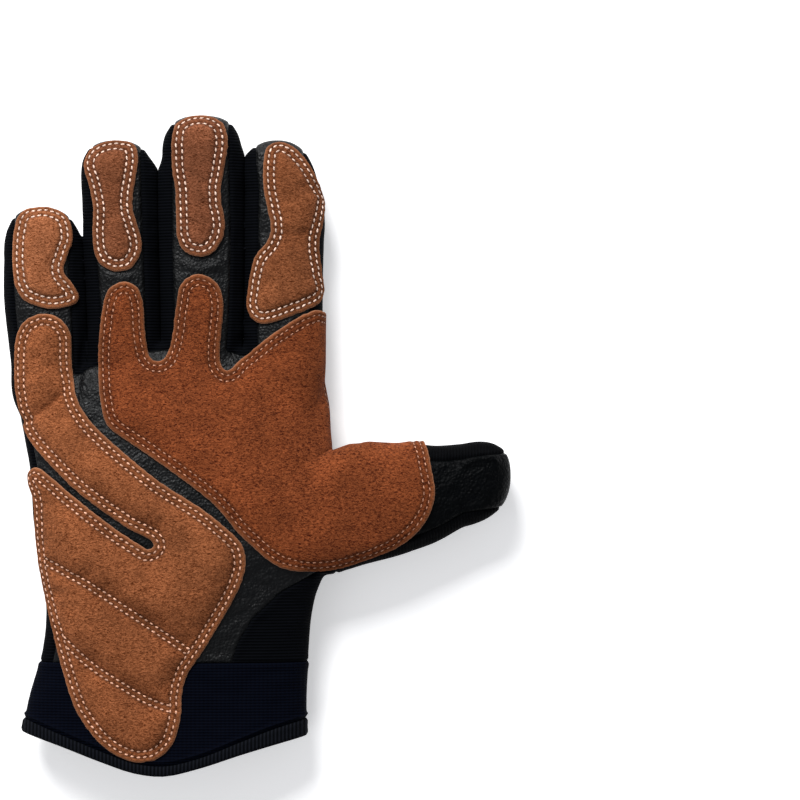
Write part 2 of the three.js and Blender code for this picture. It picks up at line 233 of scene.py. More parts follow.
def loft(bm, rows, across_x):
    """Bridges a ring of corners for each row to the next, and closes both ends."""
    rings = []
    for row in rows:
        corners = bmesh.ops.create_circle(bm, segments=SIDES, radius=1.0)["verts"]
        edges = list({e for v in corners for e in v.link_edges})
        for v in corners:
            v.co = on_section(v.co.copy(), row, across_x)
        rings.append((corners, edges))
    for (_, near), (_, far) in zip(rings, rings[1:]):
        bmesh.ops.bridge_loops(bm, edges=near + far)
    for corners, _ in (rings[0], rings[-1]):
        bmesh.ops.contextual_create(bm, geom=corners)


form_bm = bmesh.new()
hand_rows = [(a, (l + r) / 2, (r - l) / 2, b, t, w) for a, l, r, b, t, w in HAND]
loft(form_bm, flowing(hand_rows, 4.0), True)
for finger in FINGERS.values():
    loft(form_bm, digit_rows(finger), True)
loft(form_bm, digit_rows(THUMB), False)
bmesh.ops.recalc_face_normals(form_bm, faces=form_bm.faces)
print("lofted form:", len(form_bm.verts), "corners")

# %% [markdown]
# The six lofts still pass through each other. A voxel remesh melts them into one even skin of small
# squares, which is what the cutting and the fine relief later need. A few rounds of smoothing soften
# the webs between the fingers and wipe out the voxels' steps.

# %% Melt the lofts into one skin
VOXEL = 0.8


def scratch_object(name, bm):
    """Turns a bmesh into a temporary object."""
    mesh = bpy.data.meshes.new(name)
    bm.to_mesh(mesh)
    bm.free()
    made = bpy.data.objects.new(name, mesh)
    bpy.context.scene.collection.objects.link(made)
    return made


def with_modifiers_applied(obj):
    """Replaces an object's mesh with the one its modifiers give."""
    evaluated = obj.evaluated_get(bpy.context.evaluated_depsgraph_get())
    mesh = bpy.data.meshes.new_from_object(evaluated)
    obj.modifiers.clear()
    obj.data = mesh
    return obj


form = scratch_object("glove_form", form_bm)
remesh = form.modifiers.new("one skin", "REMESH")
remesh.mode = "VOXEL"
remesh.voxel_size = VOXEL
remesh.use_smooth_shade = True
smooth = form.modifiers.new("soften", "SMOOTH")
smooth.factor = 0.5
smooth.iterations = 8
with_modifiers_applied(form)
print("form skin:", len(form.data.vertices), "corners")


# %% [markdown]
# The lofts need a gap to stay apart in the remesh, but the real fingers lie pressed against each other. Each
# pair of neighbours gets a contact line in plan, midway between their walls. The walls move up to it, less
# and less with depth inside the finger, and are squeezed flat against each other. Columns: y, x.

# %% Press the fingers together
CONTACTS = {
    "little and ring": [(29, -63.2), (56, -64.1), (77, -65.3)],
    "ring and middle": [(36, -35.6), (58, -36), (80, -36.6), (101, -36.9)],
    "middle and index": [(34, -4.8), (54, -4.1), (106, -4)],
}
CONTACT_GAP = 0.12
SQUEEZE = 1.0
PRESS_WIDTH = 10.0
PRESS_DEPTH = 7.0
FADE_AT_WEB = 5.0
FADE_AT_TIP = 10.0
WALL_LOW, WALL_HIGH = 6.0, 14.0
STATION_STEP = 1.5


def press(points, line):
    """Moves the walls of two fingers towards their contact line."""
    line = np.array(line, float)
    low, high = line[0, 0], line[-1, 0] + FADE_AT_TIP
    y, z = points[:, 1], points[:, 2]
    offset = points[:, 0] - np.interp(y, line[:, 0], line[:, 1])
    near = (np.abs(offset) < PRESS_WIDTH) & (y > low) & (y < high)
    fade = np.clip((y - low) / FADE_AT_WEB, 0, 1) * np.clip((high - y) / FADE_AT_TIP, 0, 1)
    fade = fade * fade * (3 - 2 * fade)
    # Near the web only the walls move, not the palm above them.
    fade *= 1 - np.clip((low + 8 - y) / 4, 0, 1) * np.clip((z - WALL_HIGH) / 3, 0, 1)
    stations = np.arange(low, high, STATION_STEP)
    for side in (-1, 1):
        here = near & (offset * side > 0)
        wall = here & (z > WALL_LOW) & (z < WALL_HIGH)
        gaps = [np.abs(offset[wall & (np.abs(y - at) < 0.8)]).min(initial=PRESS_WIDTH) for at in stations]
        # Below the web there is no wall yet, so the first gap above it counts there too.
        web = next(i for i, gap in enumerate(gaps) if gap < PRESS_WIDTH)
        gaps[:web] = [gaps[web]] * web
        evened = np.convolve(np.pad(gaps, 2, "edge"), np.ones(5) / 5, "valid")
        gap = np.interp(y[here], stations, evened)
        shift = (np.maximum(gap - CONTACT_GAP, 0) + SQUEEZE) * fade[here]
        reach = np.abs(offset[here])
        moved = reach - shift * np.clip(1 - (reach - gap) / PRESS_DEPTH, 0, 1)
        moved = np.maximum(moved, np.minimum(reach, CONTACT_GAP / 2))
        points[here, 0] += side * (moved - reach)
    return points


pressed = np.empty(len(form.data.vertices) * 3, np.float32)
form.data.vertices.foreach_get("co", pressed)
pressed = pressed.reshape(-1, 3).astype(float)
before = pressed.copy()
for line in CONTACTS.values():
    pressed = press(pressed, line)
form.data.vertices.foreach_set("co", pressed.astype(np.float32).ravel())
form.data.update()
print("walls moved by up to", round(float(np.abs(pressed - before).max()), 1), "mm")

# %% [markdown]
# Everything that follows works on this skin with three measuring tools: the signed distance to an outline
# drawn in plan, the distance inside a strip that follows a finger, and the height. A measure is positive
# inside its piece and zero on the piece's edge.

# %% Measuring tools
def closed_curve(points, spacing=0.6):
    """A smooth closed line through a few drawn points."""
    points = np.array(points, float)
    before, after = np.roll(points, 1, 0), np.roll(points, -1, 0)
    tangents = (after - before) / 2
    line = []
    for a, b, ta, tb in zip(points, after, tangents, np.roll(tangents, -1, 0)):
        reach = np.linalg.norm(b - a)
        ta = ta * min(1.0, reach / max(1e-9, np.linalg.norm(ta)))
        tb = tb * min(1.0, reach / max(1e-9, np.linalg.norm(tb)))
        for t in np.arange(max(2, math.ceil(reach / spacing))) / max(2, math.ceil(reach / spacing)):
            line.append(
                (2 * t**3 - 3 * t**2 + 1) * a
                + (t**3 - 2 * t**2 + t) * ta
                + (3 * t**2 - 2 * t**3) * b
                + (t**3 - t**2) * tb
            )
    return np.array(line)


def distance_to_line(points, line, closed=True):
    """Distance in plan from each point to a line, in millimetres."""
    ends = np.roll(line, -1, 0) if closed else line[1:]
    starts = line if closed else line[:-1]
    best = np.full(len(points), 1e9)
    for a, b in zip(starts, ends):
        along = b - a
        t = np.clip(((points - a) @ along) / max(1e-12, along @ along), 0, 1)
        gap = points - a - t[:, None] * along
        best = np.minimum(best, np.einsum("ij,ij->i", gap, gap))
    return np.sqrt(best)


def inside(points, line):
    """Signed distance in plan to a closed outline, positive inside."""
    xy = points[:, :2]
    within = np.zeros(len(xy), bool)
    for (ax, ay), (bx, by) in zip(line, np.roll(line, -1, 0)):
        spans = (ay > xy[:, 1]) != (by > xy[:, 1])
        if ay != by:
            within ^= spans & (xy[:, 0] < (bx - ax) * (xy[:, 1] - ay) / (by - ay) + ax)
    return np.where(within, 1, -1) * distance_to_line(xy, line)


def strip_inside(points, digit, strip, across_x=True):
    """How far inside a finger's front strip a point lies, in plan."""
    last = digit["rows"][-1]
    rows = np.array([row[:3] for row in flowing(digit["rows"])])
    rows = np.vstack([rows, (digit["tip"] + 10, digit.get("tip_centre", last[1]), last[2])])
    along, side = (points[:, 1], points[:, 0]) if across_x else (points[:, 0], points[:, 1])
    centre = np.interp(along, rows[:, 0], rows[:, 1])
    half = np.interp(along, rows[:, 0], rows[:, 2])
    return np.minimum(half - strip - np.abs(side - centre), along - rows[0, 0])


square = closed_curve([(0, 0), (10, 0), (10, 10), (0, 10)], 1.0)
square_centre = np.array([[5.0, 5.0, 0]])
print("centre of a 10 mm square lies", round(float(inside(square_centre, square)[0]), 2), "mm inside")

# %% [markdown]
# ## Cutting along a line
# A knife cut needs corners exactly on the line. The tool below finds each edge whose two ends lie on
# different sides, splits it where the measure is zero, and joins the new corners across the faces. A corner
# that is already close to the line is moved onto it first, so that the cut leaves no slivers.

# %% A knife that follows any measure
SNAP = 0.18


def cut_along(bm, values, level=0.0, where=None):
    """Puts a line of corners where values equals level. values is a float layer on the corners."""
    level = float(np.float32(level))
    for v in bm.verts:
        v.tag = False
    crossing = []
    for e in bm.edges:
        a, b = e.verts
        low, high = a[values] - level, b[values] - level
        if (low < 0) == (high < 0) or low == 0 or high == 0:
            continue
        if where is None or where(a.co) or where(b.co):
            crossing.append(e)
    cuts = {}
    for e in crossing:
        a, b = e.verts
        low, high = a[values] - level, b[values] - level
        if low * high >= 0:
            continue
        t = low / (low - high)
        near = a if t < SNAP else b if t > 1 - SNAP else None
        if near is not None:
            near.co = a.co.lerp(b.co, t)
            near[values] = level
            near.tag = True
    for e in crossing:
        a, b = e.verts
        low, high = a[values] - level, b[values] - level
        if low * high < 0:
            cuts[e] = low / (low - high)
    made = bmesh.ops.bisect_edges(bm, edges=list(cuts), cuts=1, edge_percents=cuts)
    fresh = [v for v in made["geom_split"] if isinstance(v, bmesh.types.BMVert)]
    for v in fresh:
        v[values] = level
    on_line = fresh + [v for v in bm.verts if v.tag]
    bmesh.ops.connect_verts(bm, verts=on_line, check_degenerate=False)
    return len(on_line)


def set_measure(bm, name, measured):
    """Writes one number per corner to a float layer and returns the layer."""
    layer = bm.verts.layers.float.get(name) or bm.verts.layers.float.new(name)
    for v, value in zip(bm.verts, measured):
        v[layer] = float(value)
    return layer


def points_of(bm):
    """The places of all corners as one array."""
    return np.array([v.co for v in bm.verts], float).reshape(-1, 3)


# The knife is tried on a small square: the cut has to lie exactly where the measure is zero.
trial = bmesh.new()
bmesh.ops.create_grid(trial, x_segments=8, y_segments=8, size=4.0)
trial_layer = set_measure(trial, "trial", points_of(trial)[:, 0] - 0.37)
cut_along(trial, trial_layer)
print("cut corners lie at x =", sorted({round(v.co.x, 3) for v in trial.verts if v[trial_layer] == 0}))
trial.free()

# %% [markdown]
# ## The panels
# The real cutter's patterns are the palm and back fields, a strip up each finger, and the stretch pieces in
# between. The same few outlines as in the CAD source say where the seams run. Columns: x, y.

# %% Outlines of the seams
PALM_FIELD = [
    (-84.5, 3), (-82, -9), (-79.8, -25), (-77.4, -42), (-75, -56), (-73.8, -68), (-76.8, -84),
    (-9.1, -84), (-5.7, -73.7), (0, -64.2), (10.6, -54.7), (24.7, -47),
    (40, -47), (40, -8), (25.4, -8), (24.4, 6), (23, 22),
]  # fmt: skip
BACK_FIELD = PALM_FIELD[:7] + [(16.3, -84), (17.8, -68), (20.4, -56), (24.2, -47)] + PALM_FIELD[12:]
KNUCKLES = [(x, 37.4 - BOW * (x - BOW_CENTRE_X) ** 2) for x in range(23, -87, -12)]
HAND_SPLIT_Z = 10.5
THUMB_SPLIT_Z = 13.5
FINGER_STRIP = 4.5
THUMB_STRIP = 5.5
HEM = [
    (-110, -96.5, -101), (-88, -102.7, -108), (-73, -108.6, -113), (-57, -115, -119),
    (-45, -119.2, -123), (-34, -120.4, -124.2), (-21, -117.6, -121.4), (-5, -111.4, -116.3),
    (7, -106.8, -112.8), (20, -103, -109.4), (50, -96, -102.5),
]  # fmt: skip
print("palm field:", len(PALM_FIELD + KNUCKLES), "corners; hem:", len(HEM), "places")

# %% [markdown]
# Each seam becomes one measure on the skin: how far a corner lies inside the palm leather, inside the back
# fabric, past the thumb's seam, and so on. A seam is wherever one of them passes through zero.

# %% Measure the skin
hem_rows = np.array(flowing(HEM, 4.0))


def past_hem(points, column):
    """How far up the cuff each point lies from the hem's top (1) or bottom (2)."""
    return points[:, 1] - np.interp(points[:, 0], hem_rows[:, 0], hem_rows[:, column])


def panel_measures(points):
    """Every seam's measure at each point."""
    strips = [strip_inside(points, finger, FINGER_STRIP) for finger in FINGERS.values()]
    palm = np.maximum.reduce([inside(points, np.array(PALM_FIELD + KNUCKLES, float)), *strips])
    back = np.maximum.reduce([inside(points, np.array(BACK_FIELD + KNUCKLES, float)), *strips])
    height = points[:, 2]
    return {
        "thumb seam": points[:, 0] - THUMB_SEAM_X,
        "cuff seam": points[:, 1] - CUFF_SEAM_Y,
        "hem top": past_hem(points, 1),
        "hem bottom": past_hem(points, 2),
        "palm": np.minimum(palm, height - HAND_SPLIT_Z),
        "back": np.minimum(back, HAND_SPLIT_Z - height),
        "thumb strip": strip_inside(points, THUMB, THUMB_STRIP, False),
        "thumb split": height - THUMB_SPLIT_Z,
    }


skin = bmesh.new()
skin.from_mesh(form.data)
lift = skin.verts.layers.float_vector.new("lift")
for v in skin.verts:
    v[lift] = v.normal
measured = panel_measures(points_of(skin))
measures = {name: set_measure(skin, name, values) for name, values in measured.items()}
# The patches are cut later, from an unwrinkled copy of the skin's upper part.
PATCH_SKIN_Z = 5
smooth_skin = skin.copy()
below = [v for v in smooth_skin.verts if v.co.z < PATCH_SKIN_Z]
bmesh.ops.delete(smooth_skin, geom=below, context="VERTS")
print("skin measured by", ", ".join(measures))

# %% [markdown]
# Now the knife runs along every seam. The palm and back seams stop at the thumb and at the cuff, which
# have seams of their own, so each cut only looks at its own side of those.

# %% Cut the seams
def in_hand(co):
    return co.x < THUMB_SEAM_X + 1 and co.y > CUFF_SEAM_Y - 1


def in_thumb(co):
    return co.x > THUMB_SEAM_X - 1


def in_cuff(co):
    return co.y < CUFF_SEAM_Y + 1


SEAM_SIDES = {
    "thumb seam": None,
    "cuff seam": None,
    "hem top": in_cuff,
    "hem bottom": in_cuff,
    "palm": in_hand,
    "back": in_hand,
    "thumb strip": in_thumb,
    "thumb split": in_thumb,
}
for name, side in SEAM_SIDES.items():
    print(name, "cut through", cut_along(skin, measures[name], where=side), "corners")
past_the_end = [v for v in skin.verts if v[measures["hem bottom"]] < -1e-6]
bmesh.ops.delete(skin, geom=past_the_end, context="VERTS")

# %% [markdown]
# Every face now lies wholly in one panel. The stretch strips between the fingers are separate islands, so
# each is named for the known place that its own middle is nearest to.

# %% Name the panels
STRIP_PLACES = {
    "ulnar_side_fabric": (-88, 5),
    "fourchette_little_ring": (-65, 65),
    "fourchette_ring_middle": (-36, 78),
    "fourchette_middle_index": (-4, 78),
    "index_side_fabric": (25, 50),
    "wrist_side_fabric": (12, -65),
}


def panel_of(face):
    """The panel that a face belongs to, or sides for the stretch strips of the hand."""
    here = {name: sum(v[layer] for v in face.verts) for name, layer in measures.items()}
    if here["thumb seam"] > 0:
        if here["thumb strip"] > 0:
            return "thumb_leather" if here["thumb split"] > 0 else "thumb_back_fabric"
        return "thumb_inner_side" if face.calc_center_median().y > -20 else "thumb_outer_side"
    if here["cuff seam"] < 0:
        return "cuff_knit" if here["hem top"] > 0 else "cuff_hem"
    return "palm_leather" if here["palm"] > 0 else "back_fabric" if here["back"] > 0 else "sides"


def islands(faces):
    """Groups of faces that hang together, largest first."""
    left, groups = set(faces), []
    while left:
        group, front = [], [left.pop()]
        while front:
            face = front.pop()
            group.append(face)
            for e in face.edges:
                for other in e.link_faces:
                    if other in left:
                        left.remove(other)
                        front.append(other)
        groups.append(group)
    return sorted(groups, key=len, reverse=True)


owner = skin.faces.layers.int.new("panel")
panels = {}
for face in skin.faces:
    panels.setdefault(panel_of(face), []).append(face)
for group in islands(panels.pop("sides")):
    middle = np.mean([f.calc_center_median().xy for f in group], axis=0)
    name = min(STRIP_PLACES, key=lambda n: np.linalg.norm(middle - STRIP_PLACES[n]))
    panels.setdefault(name, []).extend(group)
print({name: len(faces) for name, faces in panels.items()})

# %% [markdown]
# Leather and fabric are turned under at a seam, so a seam is a narrow valley between two soft rolls. The
# distance to the nearest seam is measured first, and the knife adds rows beside it, because the skin's own
# squares are too coarse to show so sharp a fold.

# %% Distance to the seams
def along_edges(edges, spacing=0.2):
    """Points along mesh edges, close enough together to measure distances to them."""
    for e in edges:
        a, b = (v.co for v in e.verts)
        count = max(1, math.ceil((b - a).length / spacing))
        for i in range(count):
            yield a.lerp(b, (i + 0.5) / count)


def measure_distance(bm, edges, name):
    """Writes the distance to the nearest of some edges on every corner."""
    points = list(along_edges(edges))
    tree = kdtree.KDTree(len(points))
    for i, co in enumerate(points):
        tree.insert(co, i)
    tree.balance()
    layer = bm.verts.layers.float.get(name) or bm.verts.layers.float.new(name)
    on_edge = {v for e in edges for v in e.verts}
    for v in bm.verts:
        v[layer] = 0.0 if v in on_edge else tree.find(v.co)[2]
    return layer


SEAM_ROWS = (1.0, 0.45)
TAPE_LINE = 1.7
TAPE_ROWS = (TAPE_LINE - 0.6, TAPE_LINE, TAPE_LINE + 0.6)
names = sorted(panels)
for number, name in enumerate(names):
    for face in panels[name]:
        face[owner] = number
seams = [e for e in skin.edges if len({f[owner] for f in e.link_faces}) > 1 or len(e.link_faces) < 2]
seam_distance = measure_distance(skin, seams, "seam distance")
for level in SEAM_ROWS:
    cut_along(skin, seam_distance, level)
for level in TAPE_ROWS:
    cut_along(skin, measures["hem top"], level, in_cuff)
print("seams:", round(sum(e.calc_length() for e in seams)), "mm long; skin now", len(skin.verts), "corners")

# %% [markdown]
# A height profile then lowers the seam and raises the roll beside it. Leather and cloth also carry soft
# wrinkles: smooth noise, pulled out across each finger, gives shallow ones that catch the light. The few deep
# folds of the real glove are drawn as lines in plan, each with its width and height.

# %% Seam valleys, wrinkles and folds
SEAM_DISTANCES = [0, 0.45, 1.0, 1.8, 3.2]
SEAM_HEIGHTS = [-0.5, -0.18, 0.1, 0.12, 0]
CALM_BY_SEAM = 2.5
SIDE_WALL_CALM = 0.1
WRINKLES = [(14, 9, 0.6), (5.5, 3.2, 0.3)]
TAPE_RIDGE, TAPE_RIDGE_WIDTH = 0.5, 0.8
FOLD_FADE = 4
FOLD_LOWEST_Z = 8
NOISE_PLACE = Vector((3.7, 9.1, 5.3))
FOLDS = [
    {"line": [(76, -10), (81, -5.5), (86, -3.4), (90.5, -4.6), (93, -8)], "width": 1.5, "height": 0.9},
    {"line": [(70, -3), (76, -6), (79, -10)], "width": 1.3, "height": -0.5},
    {"line": [(-64, 22), (-62.5, 34), (-61.5, 48)], "width": 1.4, "height": 0.55},
    {"line": [(-67, 16), (-65.5, 30), (-64.5, 44)], "width": 1.1, "height": -0.45},
    {"line": [(-58, 66), (-50, 63.5), (-43, 65)], "width": 1.3, "height": 0.5},
    {"line": [(-30, 70), (-20, 67), (-11, 69)], "width": 1.4, "height": 0.55},
    {"line": [(-7, 48), (-4, 44), (0, 42)], "width": 1.5, "height": 0.5},
    {"line": [(-12, -45), (-2, -56), (4, -66)], "width": 2.2, "height": 0.6},
    {"line": [(-3, -48), (6, -53), (14, -60)], "width": 1.8, "height": -0.5},
]


def wrinkle(co, across, along, height):
    """Soft bumps: across and along are the wrinkle's sizes in millimetres over x and y."""
    return height * noise.noise(Vector((co.x / across, co.y / along, co.z / across)) + NOISE_PLACE)


def fold_heights(points, folds):
    """Height of the drawn folds at each point, fading towards both ends of a fold."""
    heights = np.zeros(len(points))
    for fold in folds:
        line = np.array(fold["line"], float)
        gap = distance_to_line(points[:, :2], line, closed=False)
        ends = np.minimum(*(np.linalg.norm(points[:, :2] - end, axis=1) for end in (line[0], line[-1])))
        fade = np.clip(ends / FOLD_FADE, 0, 1) * (points[:, 2] > FOLD_LOWEST_Z)
        heights += fold["height"] * np.exp(-((gap / fold["width"]) ** 2)) * fade
    return heights


def skin_height(v):
    """How far a corner of the skin moves outwards, in millimetres."""
    d = v[seam_distance]
    calm = min(1.0, d / CALM_BY_SEAM)
    height = float(np.interp(d, SEAM_DISTANCES, SEAM_HEIGHTS))
    if v[measures["hem top"]] < 0:
        return height
    ridge = TAPE_RIDGE * max(0.0, 1 - abs(v[measures["hem top"]] - TAPE_LINE) / TAPE_RIDGE_WIDTH)
    calm *= SIDE_WALL_CALM + (1 - SIDE_WALL_CALM) * abs(v[lift].normalized().z)
    soft = sum(wrinkle(v.co, *size) for size in WRINKLES)
    return height + soft * calm + ridge


folds = fold_heights(points_of(skin), FOLDS)
for v, fold in zip(skin.verts, folds):
    v.co = v.co + v[lift].normalized() * (skin_height(v) + fold)
print("highest point of the skin:", round(max(v.co.z for v in skin.verts), 1), "mm")

# %% [markdown]
# A finished piece gets its wall from Solidify, inwards, and its place in its mesh. It rides on the glove's
# only body, and the CAD node of the same name is hidden, not removed.

# %% Make the pieces
TO_FRAME = Matrix.Translation(SHIFT * MM) @ Matrix.Scale(MM, 4)
glove_pieces = {}


def finish_piece(name, bm, wall, node=None):
    """Places a sheet in the frame, gives it a wall and enters it as a piece of the glove."""
    bm.transform(TO_FRAME)
    made = scratch_object("made_" + name, bm)
    if wall:
        solidify = made.modifiers.new("wall", "SOLIDIFY")
        solidify.thickness = wall * MM
        solidify.offset = -1.0
        with_modifiers_applied(made)
    made.name = name
    made.data.name = name
    made.data.shade_smooth()
    made.data.set_sharp_from_angle(angle=math.radians(50))
    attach(made, "root")
    if node:
        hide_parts(node)
    glove_pieces[name] = made
    return made


def one_panel(bm, number, proud):
    """A copy of the skin with the faces of one panel only, standing proud of its neighbours."""
    part = bm.copy()
    layer = part.faces.layers.int["panel"]
    bmesh.ops.delete(part, geom=[f for f in part.faces if f[layer] != number], context="FACES")
    outwards = part.verts.layers.float_vector["lift"]
    for v in part.verts:
        v.co = v.co + v[outwards].normalized() * proud
    return part


PANEL_WALL = 1.7
WALLS = {"cuff_knit": 2.3, "cuff_hem": 3.0}
PROUD = {"cuff_knit": 0.4, "cuff_hem": 0.8}
for number, name in enumerate(names):
    panel = one_panel(skin, number, PROUD.get(name, 0.0))
    finish_piece(name + "_panel", panel, WALLS.get(name, PANEL_WALL), name)
print("panels made:", len(glove_pieces))

# %% [markdown]
# ## The suede patches
# The real patches are die-cut from thick split suede, so each has a clean outline, a visible cut edge and
# one even thickness. Only that outline is drawn here, with a few points that a smooth curve passes through.
# The fingertip patches list their left and right edges at places along the finger.

# %% Outlines of the patches
TIP_PATCHES = {
    "little": {
        "top": (-80.4, 91),
        "bottom": (-76, 52),
        "rows": [
            (90, -86.8, -75.2), (87.2, -89.8, -71.2), (82.5, -91, -69), (77, -91.6, -69), (70.5, -91.7, -71.3),
            (65.7, -91.4, -71.9), (60.5, -90.5, -68), (56, -87.8, -66.4), (53.3, -83, -69.2),
        ],
    },
    "ring": {
        "top": (-51.6, 116.1),
        "bottom": (-51.2, 66),
        "rows": [
            (115.1, -57.8, -46.6), (112, -62.8, -44.3), (106, -64.8, -44.1), (99, -62.8, -45.2), (91, -61, -46),
            (85, -61.1, -44.6), (79, -61.2, -42.8), (74, -60.7, -42.6), (69.4, -58.7, -44.6), (67, -55.4, -47.2),
        ],
    },
    "middle": {
        "top": (-20.1, 125.6),
        "bottom": (-20.2, 71.6),
        "rows": [
            (124.4, -26.2, -15), (121.5, -30.1, -11.3), (115, -31.3, -9.9), (105, -31.1, -11.2),
            (98, -29.9, -12.5), (91.5, -29.6, -12.2), (84.5, -29.5, -10.9), (78.5, -28.9, -11.9),
            (74.5, -27.2, -14.2), (72.4, -24, -16.9),
        ],
    },
    "index": {
        "top": (9.6, 115.5),
        "bottom": (3.8, 46.3),
        "rows": [
            (113.6, 4.9, 14.6), (109.5, 3.7, 18.9), (103.4, 3.3, 22.9), (97, 3.6, 25.3), (90, 4.9, 26.8),
            (83, 6.3, 25.9), (77.5, 5, 24.8), (72, 0.4, 25), (66, -1.5, 25.7), (60, -2.6, 26.4),
            (54.6, -3.3, 25.2), (51.6, -2.8, 20), (48.6, -1.4, 12.4), (46.9, 1, 7.4),
        ],
    },
}  # fmt: skip
PALM_PATCH = [
    (-49.6, 62.1), (-55.3, 58.9), (-57.6, 50.5), (-59, 36), (-58.5, 23), (-56.9, 12.9), (-54, 6.9),
    (-36.4, -5.2), (-15.3, -21), (-4.8, -33.1), (6.5, -43.3), (13.2, -46.4), (23.8, -47.2), (34.3, -45.7),
    (54.3, -38.2), (64.2, -29.1), (68.2, -18.6), (66.8, -7.5), (65.3, -0.6), (63, 3.6), (57.8, 3.4),
    (48.5, 2), (38, 2.6), (32.5, 1.5), (32, 11.7), (31.5, 36), (29.5, 48.5), (22.8, 51.3),
    (8.7, 43.6), (-4.8, 33.1), (-9.4, 28.8), (-12.3, 30.6), (-12.8, 37), (-11.6, 53.4), (-13.9, 61.5),
    (-21.3, 65), (-27.7, 61), (-29.6, 51.9), (-31.4, 39.5), (-33.6, 33.6), (-36.6, 32.2), (-39.6, 34.2),
    (-41.2, 44), (-42, 54.6), (-44.4, 60.2),
]  # fmt: skip
HEEL_PATCH = [
    (-80.8, 50), (-87.4, 46.8), (-90.6, 39.7), (-91.1, 25), (-90, 16.5), (-88, 7.6), (-83.8, 0.5),
    (-66.4, -16.7), (-48, -29.9), (-38.6, -34.8), (-37.2, -37.4), (-39.8, -38.4), (-55, -28.4),
    (-70.7, -16.2), (-77.7, -10.4), (-82.2, -8), (-85.6, -9.6), (-85.9, -13.6), (-83.8, -20), (-81.6, -44.8),
    (-76.4, -69.2), (-69, -94.5), (-64.6, -103.3), (-58.5, -111), (-50.7, -116.6), (-42.8, -118.8),
    (-35.6, -117), (-30.4, -111.8), (-27.4, -102), (-27, -94), (-25, -86), (-19.4, -77.6), (-9.4, -61),
    (-4, -50), (-2.8, -42.4), (-5.2, -35.2), (-18.4, -23.9), (-35.8, -12.6), (-52.8, 1.3), (-62.6, 11),
    (-67.4, 20), (-69, 33), (-69.6, 43), (-74, 48.6),
]  # fmt: skip
QUILT_ROWS = [
    [(-90, -36.5), (-81.2, -41.3), (-62, -51.8), (-44.6, -63.2), (-35.8, -69.2), (-24.5, -77.1), (-16, -83)],
    [(-80, -65), (-72.5, -71.8), (-62, -81.5), (-48.9, -90.2), (-40.2, -95.4), (-28, -99.8), (-18, -103)],
]


def tip_outline(patch):
    """A fingertip patch's outline, clockwise from its top."""
    right = [(r, y) for y, _, r in patch["rows"]]
    left = [(l, y) for y, l, _ in reversed(patch["rows"])]
    return [patch["top"], *right, patch["bottom"], *left]


PATCHES = {"patch_" + name + "_tip": tip_outline(patch) for name, patch in TIP_PATCHES.items()}
TIP_NAMES = list(PATCHES)
PATCHES |= {"patch_palm": PALM_PATCH, "patch_heel": HEEL_PATCH}
print("patches:", {name: len(points) for name, points in PATCHES.items()})

# %% [markdown]
# A patch starts as a cut-out of the smooth skin: everything outside its outline is cut away. Where the
# outline runs past the glove's silhouette, the suede wraps round the edge and ends on the glove's side. The
# outline is held against the suede's upper side, because thickness widens a patch that wraps round a finger.

# %% Cut the suede to its outline
WRAP_Z = 7.5
HEEL_WRAP_Z = 15.0
SUEDE_RISE = 1.1
FRAY = 0.25
OUTER_ROW = 1.9
INNER_ROW = 4.1
PATCH_ROWS = (0.45, 1.0, OUTER_ROW, 2.9, INNER_ROW, 5.2)


def cut_patch(source, name, rows):
    """The piece of a skin inside a patch's outline, with its distance to the cut edge and rows along it."""
    line = closed_curve(PATCHES[name])
    lowest = HEEL_WRAP_Z if name == "patch_heel" else WRAP_Z
    low, high = line.min(axis=0) - 2, line.max(axis=0) + 2

    def far_away(co):
        return co.z < lowest - 2 or not (low[0] < co.x < high[0] and low[1] < co.y < high[1])

    sheet = source.copy()
    bmesh.ops.delete(sheet, geom=[v for v in sheet.verts if far_away(v.co)], context="VERTS")
    points = points_of(sheet)
    lift_layer = sheet.verts.layers.float_vector["lift"]
    upper_side = points + SUEDE_RISE * np.array([v[lift_layer] for v in sheet.verts])
    fray = FRAY * np.array([noise.noise(Vector(co) / 1.5 + NOISE_PLACE) for co in upper_side])
    within = set_measure(sheet, "within", np.minimum(inside(upper_side, line) + fray, points[:, 2] - lowest))
    cut_along(sheet, within)
    bmesh.ops.delete(sheet, geom=[v for v in sheet.verts if v[within] < -1e-6], context="VERTS")
    for group in islands(sheet.faces[:])[1:]:
        bmesh.ops.delete(sheet, geom=group, context="FACES")
    rim = [e for e in sheet.edges if e.is_boundary]
    distance = measure_distance(sheet, rim, "edge")
    for level in rows:
        cut_along(sheet, distance, level)
    return sheet


sheets = {name: cut_patch(smooth_skin, name, PATCH_ROWS) for name in PATCHES}
print("suede cut:", {name: len(sheet.verts) for name, sheet in sheets.items()})

# %% [markdown]
# The heel patch is quilted: two double rows of stitches cross its lower half and press the padding down.
# Their distances are measured from a line drawn in plan, and the knife adds a row of corners under each.

# %% Quilt rows across the heel
ROW_GAP = 2.2


def signed_to_line(points, line):
    """Distance in plan to an open line, negative on its right side."""
    best, sign = np.full(len(points), 1e9), np.ones(len(points))
    for a, b in zip(line, line[1:]):
        along = b - a
        t = np.clip(((points[:, :2] - a) @ along) / (along @ along), 0, 1)
        gap = points[:, :2] - a - t[:, None] * along
        d = np.hypot(gap[:, 0], gap[:, 1])
        turn = np.sign(along[0] * gap[:, 1] - along[1] * gap[:, 0])
        nearer = d < best
        best[nearer], sign[nearer] = d[nearer], turn[nearer]
    return best * sign


